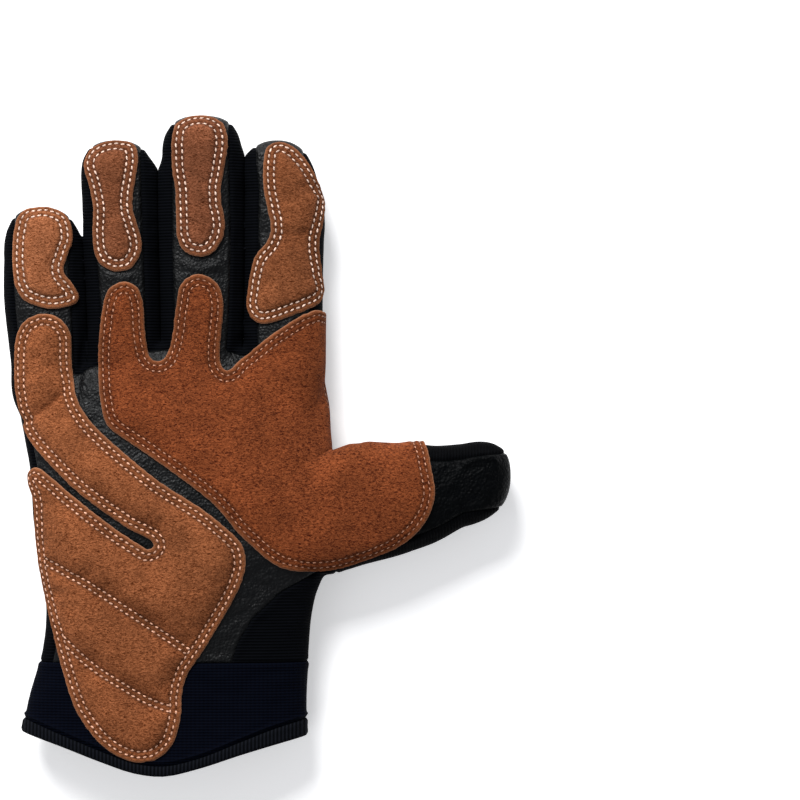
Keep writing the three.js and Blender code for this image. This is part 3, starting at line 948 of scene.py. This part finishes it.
heel = sheets["patch_heel"]
quilt_lines = [np.array([row[:2] for row in flowing(row_points, 3.0)]) for row_points in QUILT_ROWS]
quilt_layers = []
for number, line in enumerate(quilt_lines):
    layer = set_measure(heel, f"quilt {number}", signed_to_line(points_of(heel), line))
    quilt_layers.append(layer)
    for level in (-ROW_GAP / 2 - 1, -ROW_GAP / 2, ROW_GAP / 2, ROW_GAP / 2 + 1):
        cut_along(heel, layer, level)
print("heel patch with its quilt rows:", len(heel.verts), "corners")

# %% [markdown]
# The real padding is foam that the suede is sewn down over. Cloth simulation shapes it best, because its
# creases run into the seams. It needs a coarse copy of each padded patch, with squares of two millimetres,
# and the corners that thread or the cut edge holds down.

# %% Coarse copies of the padded patches
PAD_VOXEL = 1.9
PADDED = [name for name in PATCHES if name != "patch_palm"]


def coarse_form():
    """The glove's form again, in larger squares."""
    copy = bpy.data.objects.new("coarse_form", form.data.copy())
    bpy.context.scene.collection.objects.link(copy)
    squares = copy.modifiers.new("large squares", "REMESH")
    squares.mode = "VOXEL"
    squares.voxel_size = PAD_VOXEL
    with_modifiers_applied(copy)
    made = bmesh.new()
    made.from_mesh(copy.data)
    bpy.data.objects.remove(copy)
    layer = made.verts.layers.float_vector.new("lift")
    for v in made.verts:
        v[layer] = v.normal
    return made


def sewn_down(sheet, name):
    """One for a corner that thread or the cut edge holds down, zero for a free one."""
    points = points_of(sheet)
    distance = sheet.verts.layers.float["edge"]
    held = np.array([v[distance] <= INNER_ROW + 0.2 for v in sheet.verts])
    if name == "patch_heel":
        for line in quilt_lines:
            held |= np.abs(signed_to_line(points, line)) <= ROW_GAP / 2 + 0.6
    return held


pads, held = bmesh.new(), []
coarse = coarse_form()
for name in PADDED:
    pad = cut_patch(coarse, name, (INNER_ROW,))
    held.extend(sewn_down(pad, name))
    mesh = bpy.data.meshes.new("pad")
    pad.to_mesh(mesh)
    pads.from_mesh(mesh)
print("coarse pads:", len(pads.verts), "corners,", sum(held), "of them sewn down")

# %% [markdown]
# The held corners are pinned and pressure from below blows the suede up in between. A negative shrink gives
# the cloth some slack, as padding does. Twenty frames are enough for it to settle and take a few seconds.
# Only the rise is taken over, because the fine patches keep their own outline and rows.

# %% Blow up the padding
PAD_PRESSURE = 0.09
PAD_SLACK = 0.055
PAD_FRAMES = 20
PAD_CAP = {"patch_heel": 4.2}
TIP_CAP = 1.3


def blown_up(bm, pinned):
    """Runs the cloth simulation and returns each corner's place before and its rise."""
    lifts = bm.verts.layers.float_vector["lift"]
    before = points_of(bm)
    outwards = np.array([v[lifts].normalized() for v in bm.verts])
    pad = scratch_object("pads", bm)
    sewn = pad.vertex_groups.new(name="sewn")
    sewn.add([int(i) for i in np.flatnonzero(pinned)], 1.0, "REPLACE")
    cloth = pad.modifiers.new("suede", "CLOTH")
    cloth.settings.vertex_group_mass = "sewn"
    cloth.settings.use_pressure = True
    cloth.settings.uniform_pressure_force = PAD_PRESSURE
    cloth.settings.shrink_min = -PAD_SLACK
    cloth.settings.effector_weights.gravity = 0.0
    cloth.collision_settings.use_collision = False
    for frame_number in range(1, PAD_FRAMES + 1):
        bpy.context.scene.frame_set(frame_number)
    with_modifiers_applied(pad)
    after = np.array([v.co for v in pad.data.vertices])
    bpy.data.objects.remove(pad)
    bpy.context.scene.frame_set(1)
    return before, np.einsum("ij,ij->i", after - before, outwards)


pad_points, pad_rise = blown_up(pads, held)
pad_tree = kdtree.KDTree(len(pad_points))
for i, co in enumerate(pad_points):
    pad_tree.insert(co, i)
pad_tree.balance()
print("padding rises by up to", round(float(pad_rise.max()), 1), "mm")


def pad_height(co, cap):
    """The simulated rise at a point, between its four nearest coarse corners, eased off at cap."""
    near = pad_tree.find_n(co, 4)
    weights = [1 / (d + 0.15) ** 2 for _, _, d in near]
    rise = sum(w * pad_rise[i] for w, (_, i, _) in zip(weights, near)) / sum(weights)
    return cap * math.tanh(max(0.0, rise) / cap)


# %% [markdown]
# Suede this thick swells between its seams and is pulled down by every row of thread. One height profile
# over the distance to the cut edge gives the rounded rim and the two sewn grooves, and the simulated padding
# is laid under it. The palm has no foam, so it only rises a little away from its stitches.

# %% Swell the suede
EDGE_DISTANCES = [0, 0.45, 1.0, OUTER_ROW, 2.9, INNER_ROW, 5.2]
EDGE_HEIGHTS = [0.85, 1.32, 1.5, 1.12, 1.5, 1.18, 1.62]
PALM_RISE = 0.45
PALM_RISE_WIDTH = 5.0
QUILT_GROOVE, QUILT_GROOVE_WIDTH = 0.42, 0.7
SUEDE_WRINKLE = (18, 13, 0.9)
SUEDE_CALM = 7
SUEDE_FOLDS = [
    {"line": [(34, 4), (27, -5), (21, -14), (18, -20)], "width": 2.2, "height": -0.7},
    {"line": [(40, 0), (33, -9), (27, -18)], "width": 4.0, "height": 0.8},
]


def palm_rise(d):
    """How far suede without padding rises at a distance d from its cut edge."""
    return PALM_RISE * (1 - math.exp(-(((d - INNER_ROW) / PALM_RISE_WIDTH) ** 2)))


def swell(sheet, cap, quilt=()):
    """Raises a patch above the skin and notes how close each corner is to a row of stitches."""
    distance = sheet.verts.layers.float["edge"]
    lift_layer = sheet.verts.layers.float_vector["lift"]
    rows = sheet.verts.layers.float.new("row")
    quilt = [sheet.verts.layers.float[f"quilt {number}"] for number in range(len(quilt))]
    folds = fold_heights(points_of(sheet), SUEDE_FOLDS)
    for v, fold in zip(sheet.verts, folds):
        d = v[distance]
        to_row = min(abs(d - OUTER_ROW), abs(d - INNER_ROW))
        height = float(np.interp(d, EDGE_DISTANCES, EDGE_HEIGHTS)) + fold
        if d > INNER_ROW:
            for layer in quilt:
                to_quilt = abs(abs(v[layer]) - ROW_GAP / 2)
                height -= QUILT_GROOVE * math.exp(-((to_quilt / QUILT_GROOVE_WIDTH) ** 2))
                to_row = min(to_row, to_quilt)
            height += pad_height(v.co, cap) if cap else palm_rise(d)
        height += wrinkle(v.co, *SUEDE_WRINKLE) * min(1.0, d / SUEDE_CALM)
        v[rows] = to_row
        v.co = v.co + v[lift_layer].normalized() * height


for name, sheet in sheets.items():
    quilted = quilt_layers if name == "patch_heel" else ()
    swell(sheet, PAD_CAP.get(name, TIP_CAP) if name in PADDED else 0.0, quilted)
    sheet.normal_update()
print("highest suede:", round(max(v.co.z for s in sheets.values() for v in s.verts), 1), "mm")

# %% [markdown]
# ## The stitches
# Two lock-stitched rows run round every patch. The knife has already left a chain of edges under each row,
# so the chain is followed and a stitch is set every 2.4 mm.

# %% Follow the rows
STITCH_PITCH = 2.4


def chains(edges):
    """Joins edges into runs of corners, each run open or closed."""
    left, runs = set(edges), []
    links = {}
    for e in edges:
        for v in e.verts:
            links.setdefault(v, []).append(e)
    starts = [v for v, around in links.items() if len(around) == 1] + list(links)
    for start in starts:
        run = [start]
        while True:
            e = next((e for e in links[run[-1]] if e in left), None)
            if e is None:
                break
            left.remove(e)
            run.append(e.other_vert(run[-1]))
        if len(run) > 2:
            runs.append(run)
    return runs


def row_edges(sheet, layer_name, level, inner_only=False):
    """The edges that the knife left along one level of a measure."""
    layer = sheet.verts.layers.float[layer_name]
    distance = sheet.verts.layers.float["edge"]
    level = float(np.float32(level))
    limit = INNER_ROW if inner_only else 0.0
    return [e for e in sheet.edges if all(v[layer] == level and v[distance] >= limit - 0.01 for v in e.verts)]


def stitch_places(run):
    """Centre, direction and surface normal of each stitch along a run of corners."""
    points = np.array([v.co for v in run])
    normals = np.array([v.normal for v in run])
    lengths = np.concatenate([[0], np.cumsum(np.linalg.norm(np.diff(points, axis=0), axis=1))])
    count = max(1, round(lengths[-1] / STITCH_PITCH))
    for i in range(count):
        at = (i + 0.5) * lengths[-1] / count
        here, before, after = (
            Vector([np.interp(at + step, lengths, points[:, k]) for k in range(3)]) for step in (0, -0.8, 0.8)
        )
        up = Vector([np.interp(at, lengths, normals[:, k]) for k in range(3)]).normalized()
        yield here, (after - before).normalized(), up


rows_of = {}
for name, sheet in sheets.items():
    round_it = [row_edges(sheet, "edge", level) for level in (OUTER_ROW, INNER_ROW)]
    rows_of[name] = [run for edges in round_it for run in chains(edges)]
for number in range(len(quilt_lines)):
    for level in (-ROW_GAP / 2, ROW_GAP / 2):
        rows_of["patch_heel"] += chains(row_edges(heel, f"quilt {number}", level, inner_only=True))
print("rows of stitches:", {name: len(runs) for name, runs in rows_of.items()})

# %% [markdown]
# One stitch is a grain-shaped loop of thick thread, a little slanted to the row as a lock stitch is, with its
# ends sunk into the suede. Thousands of them share one small grain, which is placed and copied for each.

# %% Sew the stitches
STITCH_LENGTH = {"patch_heel": 1.45}
TIP_STITCH_LENGTH = 1.65
STITCH_WIDTH = 0.72
STITCH_HEIGHT = 0.55
STITCH_SPREAD = (0.88, 1.08)
SLANT = math.radians(9)
THREAD_LIFT = 0.12
PALM_THREAD_LIFT = {"patch_palm": -0.12}
chance = random.Random(11)
poles_along_x = Matrix.Rotation(math.pi / 2, 4, "Y")
grain_bm = bmesh.new()
bmesh.ops.create_uvsphere(grain_bm, u_segments=6, v_segments=5, radius=0.5, matrix=poles_along_x)
thread_grain = bpy.data.meshes.new("thread_grain")
grain_bm.to_mesh(thread_grain)
grain_bm.free()


def sew(runs, length, raised):
    """One mesh with a small grain of thread at every stitch."""
    thread = bmesh.new()
    for run in runs:
        for here, along, up in stitch_places(run):
            side = up.cross(along).normalized()
            up = along.cross(side).normalized()
            turned = Matrix((along, side, up)).transposed().to_4x4() @ Matrix.Rotation(SLANT, 4, "Z")
            size = [s * chance.uniform(*STITCH_SPREAD) for s in (length, STITCH_WIDTH, STITCH_HEIGHT)]
            place = Matrix.Translation(here + up * raised) @ turned @ Matrix.Diagonal((*size, 1.0))
            thread_grain.transform(place)
            thread.from_mesh(thread_grain)
            thread_grain.transform(place.inverted())
    return thread


threads = {
    name: sew(runs, STITCH_LENGTH.get(name, TIP_STITCH_LENGTH), PALM_THREAD_LIFT.get(name, THREAD_LIFT))
    for name, runs in rows_of.items()
}
print("corners of thread:", {name: len(bm.verts) for name, bm in threads.items()})

# %% [markdown]
# Each patch gets its even thickness from Solidify, as the panels did. It is thicker than its height at the
# rim, so its underside sinks a little into the leather and no light shows under the edge.

# %% Make the patches and their stitches
SUEDE_WALL = 1.35
for name, sheet in sheets.items():
    piece = finish_piece(name + "_suede", sheet, SUEDE_WALL, name)
    finish_piece(name + "_stitches", threads[name], 0)
print("pieces so far:", len(glove_pieces))

# %% [markdown]
# ## Materials
# Every pattern is worked out from a real size in millimetres. Colours are written as they look on screen and
# turned to linear light once. One helper adds a node: settings go to its sockets or options by name, and
# links join its inputs to other nodes' outputs.

# %% Colour, size and node helpers
def linear(hex_colour):
    """A screen colour in linear light."""
    channels = [int(hex_colour[i : i + 2], 16) / 255 for i in (1, 3, 5)]
    return tuple(c / 12.92 if c <= 0.04045 else ((c + 0.055) / 1.055) ** 2.4 for c in channels) + (1.0,)


def scale_for(millimetres):
    """Texture scale that makes one feature this many millimetres wide."""
    return 1 / (millimetres * MM)


def wave_scale_for(millimetres):
    """Wave texture scale that makes one wave this many millimetres long."""
    return 2 * math.pi / 20 / (millimetres * MM)


def socket(sockets, key):
    """A node's socket by its number, or the one in use of that name."""
    return sockets[key] if isinstance(key, int) else next(s for s in sockets if s.name == key and s.enabled)


def add(tree, kind, settings=None, links=None):
    """Adds one node with its settings and links."""
    made = tree.nodes.new("ShaderNode" + kind)
    options = {k: v for k, v in (settings or {}).items() if isinstance(k, str) and hasattr(made, k)}
    for key, value in options.items():
        setattr(made, key, value)
    for key, value in (settings or {}).items():
        if key not in options:
            socket(made.inputs, key).default_value = value
    for key, source in (links or {}).items():
        tree.links.new(source, socket(made.inputs, key))
    return made


def new_material(name):
    """An empty material and its node tree."""
    made = bpy.data.materials.new(name)
    made.use_nodes = True
    made.node_tree.nodes.clear()
    return made, made.node_tree


def finish_material(tree, shader_settings, shader_links):
    """Ends a material with its shader and output."""
    shader = add(tree, "BsdfPrincipled", shader_settings, shader_links)
    add(tree, "OutputMaterial", {}, {"Surface": shader.outputs["BSDF"]})


def wear(material, *piece_names):
    """Dresses some pieces in a material."""
    for name in piece_names:
        glove_pieces[name].data.materials.clear()
        glove_pieces[name].data.materials.append(material)


print("mid grey in linear light:", round(linear("#808080")[0], 3))

# %% [markdown]
# Split suede is leather's rough inner side, brushed into a nap. To the eye it is matt and mottled: short
# fibres lie in curls about a millimetre long, darker where they part, and a bent or rubbed rim looks paler.
# Single fibres are a tenth of a millimetre wide, too fine to show, so tufts of 0.9 mm stand for them. No two
# patches match, as they come from different parts of the hide, and the palm's has a redder nap.

# %% Brown split suede
NAP_SHADOW = (0.38, 0.27, 0.14)
NAP_TIP = (1.62, 1.72, 1.8)
TUFT = 0.9
RUBBED_RIM, RIM_REACH = "#8a5636", {"From Min": 0.9, "From Max": 2.0, "To Min": 0.35, "To Max": 0.0}
RAW_EDGE, RAW_REACH = "#a5765a", {"From Min": 0.05, "From Max": 0.5, "To Min": 0.7, "To Max": 0.0}
HIDE_SHADE = {"From Min": 0.3, "From Max": 0.7, "To Min": 0.8, "To Max": 1.2}
# Painted shade along the rows of stitches: the suede is darker where its sewn grooves lie.
ROW_PAINTED_SHADE = {"From Min": 0.1, "From Max": 1.2, "To Min": 0.5, "To Max": 1.0}


def tinted(colour, tint, contrast):
    """A colour with its red, green and blue made lighter or darker, the more the higher the contrast."""
    return (*(part * max(0.03, 1 + (share - 1) * contrast) for part, share in zip(linear(colour), tint)), 1.0)


def split_suede(name, colour, curl, contrast):
    """A napped hide of one colour, with curls of nap about curl millimetres long."""
    material, tree = new_material(name)
    place = add(tree, "TexCoord").outputs["Object"]
    # Brushing lays the nap sideways, so the patterns are squeezed along the hand.
    brushed = add(tree, "Mapping", {"Scale": (1.0, 2.1, 1.0)}, {"Vector": place}).outputs["Vector"]
    combed = add(tree, "Mapping", {"Scale": (1.0, 2.8, 1.0)}, {"Vector": place}).outputs["Vector"]
    curls = add(
        tree,
        "TexNoise",
        {"Scale": scale_for(curl), "Detail": 2.0, "Roughness": 0.55, "Distortion": 1.2},
        {"Vector": brushed},
    ).outputs["Fac"]
    fibres = add(
        tree,
        "TexNoise",
        {"Scale": scale_for(TUFT), "Detail": 2.0, "Roughness": 0.75, "Distortion": 1.2},
        {"Vector": combed},
    ).outputs["Fac"]
    nap = add(tree, "Mix", {"data_type": "FLOAT", "Factor": 0.35}, {"A": curls, "B": fibres}).outputs["Result"]
    lit = add(tree, "MapRange", {"From Min": 0.38, "From Max": 0.62}, {"Value": nap}).outputs["Result"]
    hide = add(
        tree,
        "Mix",
        {"data_type": "RGBA", "A": tinted(colour, NAP_SHADOW, contrast), "B": tinted(colour, NAP_TIP, contrast)},
        {"Factor": lit},
    ).outputs["Result"]

    # The rim is rubbed paler, and the cut edge shows raw leather.
    edge = add(tree, "Attribute", {"attribute_name": "edge"}).outputs["Fac"]
    for colour_there, reach in ((RUBBED_RIM, RIM_REACH), (RAW_EDGE, RAW_REACH)):
        share = add(tree, "MapRange", reach, {"Value": edge}).outputs["Result"]
        hide = add(
            tree,
            "Mix",
            {"data_type": "RGBA", "B": linear(colour_there)},
            {"Factor": share, "A": hide},
        ).outputs["Result"]

    # Large soft clouds are the hide's own tone, and painted shade darkens the suede along each sewn row of stitches.
    clouds = add(
        tree, "TexNoise", {"Scale": scale_for(15), "Detail": 3.0, "Roughness": 0.55}, {"Vector": place}
    ).outputs["Fac"]
    hide_shade = add(tree, "MapRange", HIDE_SHADE, {"Value": clouds}).outputs["Result"]
    row = add(tree, "Attribute", {"attribute_name": "row"}).outputs["Fac"]
    row_painted_shade = add(tree, "MapRange", ROW_PAINTED_SHADE, {"Value": row}).outputs["Result"]
    shade = add(tree, "Math", {"operation": "MULTIPLY"}, {0: row_painted_shade, 1: hide_shade}).outputs[0]
    shaded = add(
        tree,
        "Mix",
        {"data_type": "RGBA", "blend_type": "MULTIPLY", "Factor": 1.0},
        {"A": hide, "B": shade},
    ).outputs["Result"]
    bump = add(tree, "Bump", {"Strength": 0.9, "Distance": 0.55 * MM}, {"Height": nap})
    finish_material(
        tree,
        {
            "Roughness": 0.95,
            "Specular IOR Level": 0.1,
            "Sheen Weight": 0.06,
            "Sheen Roughness": 0.5,
            "Sheen Tint": linear("#d9a27a"),
        },
        {"Base Color": shaded, "Normal": bump.outputs["Normal"]},
    )
    return material


# Columns: material, colour, size of a curl of nap in millimetres, contrast between its tips and shadows.
HIDES = {
    "patch_little_tip": ("pale_brown_suede", "#8d5536", 0.95, 1.1),
    "patch_ring_tip": ("brown_suede", "#77462d", 0.95, 1.1),
    "patch_middle_tip": ("dark_brown_suede", "#72432c", 0.95, 1.1),
    "patch_index_tip": ("russet_suede", "#774529", 0.95, 1.1),
    "patch_heel": ("tan_brown_suede", "#834c2d", 1.0, 1.15),
    "patch_palm": ("red_brown_suede", "#733a1d", 1.05, 1.25),
}
for name, (suede_name, colour, curl, contrast) in HIDES.items():
    wear(split_suede(suede_name, colour, curl, contrast), name + "_suede")
print("suede on", len(HIDES), "patches")

# %% [markdown]
# The stitches are a thick bonded polyester thread. It is off-white, a little glossy, and twisted, which a
# fine slanted band shows. The real twist of about 0.3 mm is too fine to show, so it is drawn at 0.4 mm. On
# the palm the long nap half covers the thread and stains it tan.

# %% Sewing thread
def sewing_thread(name, colour, shadow):
    """Twisted thread; shadow is the painted shade between its strands."""
    material, tree = new_material(name)
    place = add(tree, "TexCoord").outputs["Object"]
    twist = add(
        tree,
        "TexWave",
        {"wave_type": "BANDS", "bands_direction": "DIAGONAL", "Scale": wave_scale_for(0.4), "Distortion": 1.5},
        {"Vector": place},
    )
    # Painted shade between the strands, in bands that follow the twist.
    colours = add(
        tree,
        "Mix",
        {"data_type": "RGBA", "A": linear(shadow), "B": linear(colour)},
        {"Factor": twist.outputs["Fac"]},
    )
    wear_marks = add(tree, "TexNoise", {"Scale": scale_for(2.5), "Detail": 1.0}, {"Vector": place})
    worn = add(
        tree,
        "MapRange",
        {"From Min": 0.35, "From Max": 0.65, "To Min": 0.72, "To Max": 1.35},
        {"Value": wear_marks.outputs["Fac"]},
    )
    shaded = add(
        tree,
        "Mix",
        {"data_type": "RGBA", "blend_type": "MULTIPLY", "Factor": 1.0},
        {"A": colours.outputs["Result"], "B": worn.outputs["Result"]},
    )
    bump = add(tree, "Bump", {"Strength": 0.4, "Distance": 0.1 * MM}, {"Height": twist.outputs["Fac"]})
    finish_material(
        tree,
        {"Roughness": 0.5, "Sheen Weight": 0.2},
        {"Base Color": shaded.outputs["Result"], "Normal": bump.outputs["Normal"]},
    )
    return material


white_thread = sewing_thread("offwhite_polyester_thread", "#f1d6c4", "#c39c86")
peach_thread = sewing_thread("peach_polyester_thread", "#efba9d", "#b98769")
stained_thread = sewing_thread("tan_polyester_thread", "#cc9373", "#8f5c42")
wear(white_thread, *(name + "_stitches" for name in TIP_NAMES))
wear(peach_thread, "patch_heel_stitches")
wear(stained_thread, "patch_palm_stitches")
print("thread sewn in", len(PATCHES), "meshes")

# %% [markdown]
# The palm side is thin goat leather, dyed black. It gives the eye a fine pebble about a millimetre across,
# shallow creases between the pebbles, and a soft sheen.

# %% Black goat leather
def goat_leather(name, polish):
    """Black grained leather; polish is how strongly it mirrors light."""
    material, tree = new_material(name)
    place = add(tree, "TexCoord").outputs["Object"]
    pebble = add(
        tree,
        "TexVoronoi",
        {"Scale": scale_for(1.0), "feature": "SMOOTH_F1", "Smoothness": 0.6},
        {"Vector": place},
    ).outputs["Distance"]
    creases = add(
        tree,
        "TexNoise",
        {"Scale": scale_for(2.6), "Detail": 4.0, "Roughness": 0.6, "Distortion": 1.0},
        {"Vector": place},
    ).outputs["Fac"]
    grain = add(tree, "Math", {"operation": "MULTIPLY_ADD", 1: 1.4}, {0: creases, 2: pebble}).outputs[0]
    gloss = add(
        tree,
        "MapRange",
        {"From Min": 0.35, "From Max": 0.65, "To Min": 0.36, "To Max": 0.6},
        {"Value": creases},
    )
    dye = add(
        tree,
        "Mix",
        {"data_type": "RGBA", "A": linear("#010102"), "B": linear("#040607")},
        {"Factor": creases},
    )
    bump = add(tree, "Bump", {"Strength": 0.75, "Distance": 0.45 * MM, "invert": True}, {"Height": grain})
    finish_material(
        tree,
        {"Specular IOR Level": polish},
        {"Base Color": dye.outputs["Result"], "Roughness": gloss.outputs["Result"], "Normal": bump.outputs["Normal"]},
    )
    return material


wear(goat_leather("black_goat_leather", 0.2), "palm_leather_panel")
wear(goat_leather("worn_black_goat_leather", 0.05), "thumb_leather_panel")
print("leather on the palm and the thumb")

# %% [markdown]
# The back and the strips between the fingers are ribbed polyester stretch fabric. Its ribs lie across each
# finger, 1.15 mm apart, so they run across Y on the hand and across X on the thumb. Single yarns are too fine
# to show, so specks of 0.5 mm stand for them. The cuff is a close navy knit, and woven tape binds its hem.

# %% Ribbed stretch fabric and knit
def ribbed_fabric(name, direction, rib, painted_valley_shade, painted_crest_highlight, depth, wale=0.0):
    """Fabric with ribs of one width across a direction, and with wales between them if a width is given. Its colour
    runs from painted shade in the valleys to a painted highlight on the crests.
    """
    material, tree = new_material(name)
    place = add(tree, "TexCoord").outputs["Object"]
    ribs = add(
        tree,
        "TexWave",
        {
            "wave_type": "BANDS",
            "bands_direction": direction,
            "Scale": wave_scale_for(rib),
            "Distortion": 0.6,
            "Detail": 1.0,
            "Detail Scale": 0.1,
        },
        {"Vector": place},
    ).outputs["Fac"]
    yarn = add(
        tree, "TexNoise", {"Scale": scale_for(0.5), "Detail": 2.0, "Roughness": 0.7}, {"Vector": place}
    ).outputs["Fac"]
    relief = add(tree, "Math", {"operation": "MULTIPLY_ADD", 1: 0.35}, {0: yarn, 2: ribs}).outputs[0]
    if wale:
        wales = add(
            tree,
            "TexWave",
            {"wave_type": "BANDS", "bands_direction": "X", "Scale": wave_scale_for(wale), "Distortion": 0.8},
            {"Vector": place},
        ).outputs["Fac"]
        relief = add(tree, "Math", {"operation": "MULTIPLY_ADD", 1: 0.5}, {0: wales, 2: relief}).outputs[0]
    # The colour follows the relief: painted shade in the valleys of the ribs and wales, a painted highlight on their
    # crests, and random tone from the yarn specks.
    tint = add(tree, "MapRange", {"From Min": 0.2, "From Max": 1.2}, {"Value": relief})
    colours = add(
        tree,
        "Mix",
        {"data_type": "RGBA", "A": linear(painted_valley_shade), "B": linear(painted_crest_highlight)},
        {"Factor": tint.outputs["Result"]},
    )
    bump = add(tree, "Bump", {"Strength": 0.6, "Distance": depth * MM}, {"Height": relief})
    finish_material(
        tree,
        {"Roughness": 0.85, "Specular IOR Level": 0.04},
        {"Base Color": colours.outputs["Result"], "Normal": bump.outputs["Normal"]},
    )
    return material


hand_fabric = ribbed_fabric("ribbed_stretch_fabric", "Y", 1.15, "#010203", "#06070c", 0.4)
thumb_fabric = ribbed_fabric("ribbed_stretch_fabric_thumb", "X", 1.15, "#010102", "#040507", 0.4)
cuff_fabric = ribbed_fabric("navy_cuff_knit", "Y", 1.1, "#010106", "#030611", 0.3, wale=1.6)
hem_tape = ribbed_fabric("ribbed_binding_tape", "X", 1.4, "#030406", "#14161c", 0.5)
stretch_panels = [n for n in glove_pieces if n.endswith("_panel") and not glove_pieces[n].data.materials]
wear(hand_fabric, *(n for n in stretch_panels if not n.startswith(("thumb", "cuff"))))
wear(thumb_fabric, "thumb_back_fabric_panel", "thumb_outer_side_panel", "thumb_inner_side_panel")
wear(cuff_fabric, "cuff_knit_panel")
wear(hem_tape, "cuff_hem_panel")
print("pieces without a material:", [n for n, p in glove_pieces.items() if not p.data.materials])

# %% [markdown]
# ## The studio
# The photograph looks straight down on a white table. The camera is far away with a long lens, which keeps
# the perspective as flat as in the photograph, and its centre lies right of the glove, as there.

# %% Camera, floor and lights
FRAME_CENTRE = Vector((55.1, 17.5, 0)) + SHIFT
CAMERA_HEIGHT = 1.2
FIELD_WIDTH = 304.0
FOCUS_HEIGHT = 12.0
# Wrinkles of the glove's back reach a little below zero, so the table lies one millimetre lower.
TABLE_Z = -0.001
TABLE_GLOW = 0.4

camera_data = bpy.data.cameras.new("overhead_camera")
camera_data.sensor_width = 36.0
camera_data.lens = 36.0 * (CAMERA_HEIGHT / MM - FOCUS_HEIGHT) / FIELD_WIDTH
camera = bpy.data.objects.new("overhead_camera", camera_data)
camera.location = (FRAME_CENTRE.x * MM, FRAME_CENTRE.y * MM, CAMERA_HEIGHT)
bpy.context.scene.collection.objects.link(camera)
bpy.context.scene.camera = camera

floor_bm = bmesh.new()
table_top = Matrix.Translation((0, 0, TABLE_Z))
bmesh.ops.create_grid(floor_bm, x_segments=4, y_segments=4, size=2.0, matrix=table_top)
floor = scratch_object("pale_table", floor_bm)
# The table is white acrylic with a little light from below, as for catalogue pictures, so shadows stay pale.
acrylic, tree = new_material("lit_white_acrylic")
finish_material(
    tree,
    {
        "Base Color": linear("#fefefe"),
        "Roughness": 0.9,
        "Specular IOR Level": 0.2,
        "Emission Color": linear("#ffffff"),
        "Emission Strength": TABLE_GLOW,
    },
    {},
)
floor.data.materials.append(acrylic)


def soft_light(name, place, size, watts):
    """A square studio light that faces the glove."""
    data = bpy.data.lights.new(name, "AREA")
    data.shape, data.size, data.energy = "SQUARE", size, watts
    made = bpy.data.objects.new(name, data)
    made.location = place
    made.rotation_mode = "QUATERNION"
    made.rotation_quaternion = (-Vector(place)).to_track_quat("-Z", "Y")
    bpy.context.scene.collection.objects.link(made)


soft_light("key_light", (-0.42, 1.16, 0.98), 0.7, 33)
soft_light("fill_light", (-0.9, -0.7, 1.2), 1.2, 3)
world = bpy.data.worlds.new("studio")
world.use_nodes = True
world.node_tree.nodes["Background"].inputs["Color"].default_value = linear("#f6f8ff")
world.node_tree.nodes["Background"].inputs["Strength"].default_value = 0.34
bpy.context.scene.world = world
bpy.context.scene.view_settings.view_transform = "Standard"
print("camera at", [round(v, 3) for v in camera.location], "lens", round(camera_data.lens, 1), "mm")

# %% [markdown]
# The form was only a pattern to cut from, so it goes.

# %% Tidy up and finish
bpy.data.objects.remove(form)
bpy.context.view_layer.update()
faces = [face for piece in glove_pieces.values() for face in piece.data.polygons]
print("triangles:", sum(len(face.vertices) - 2 for face in faces))
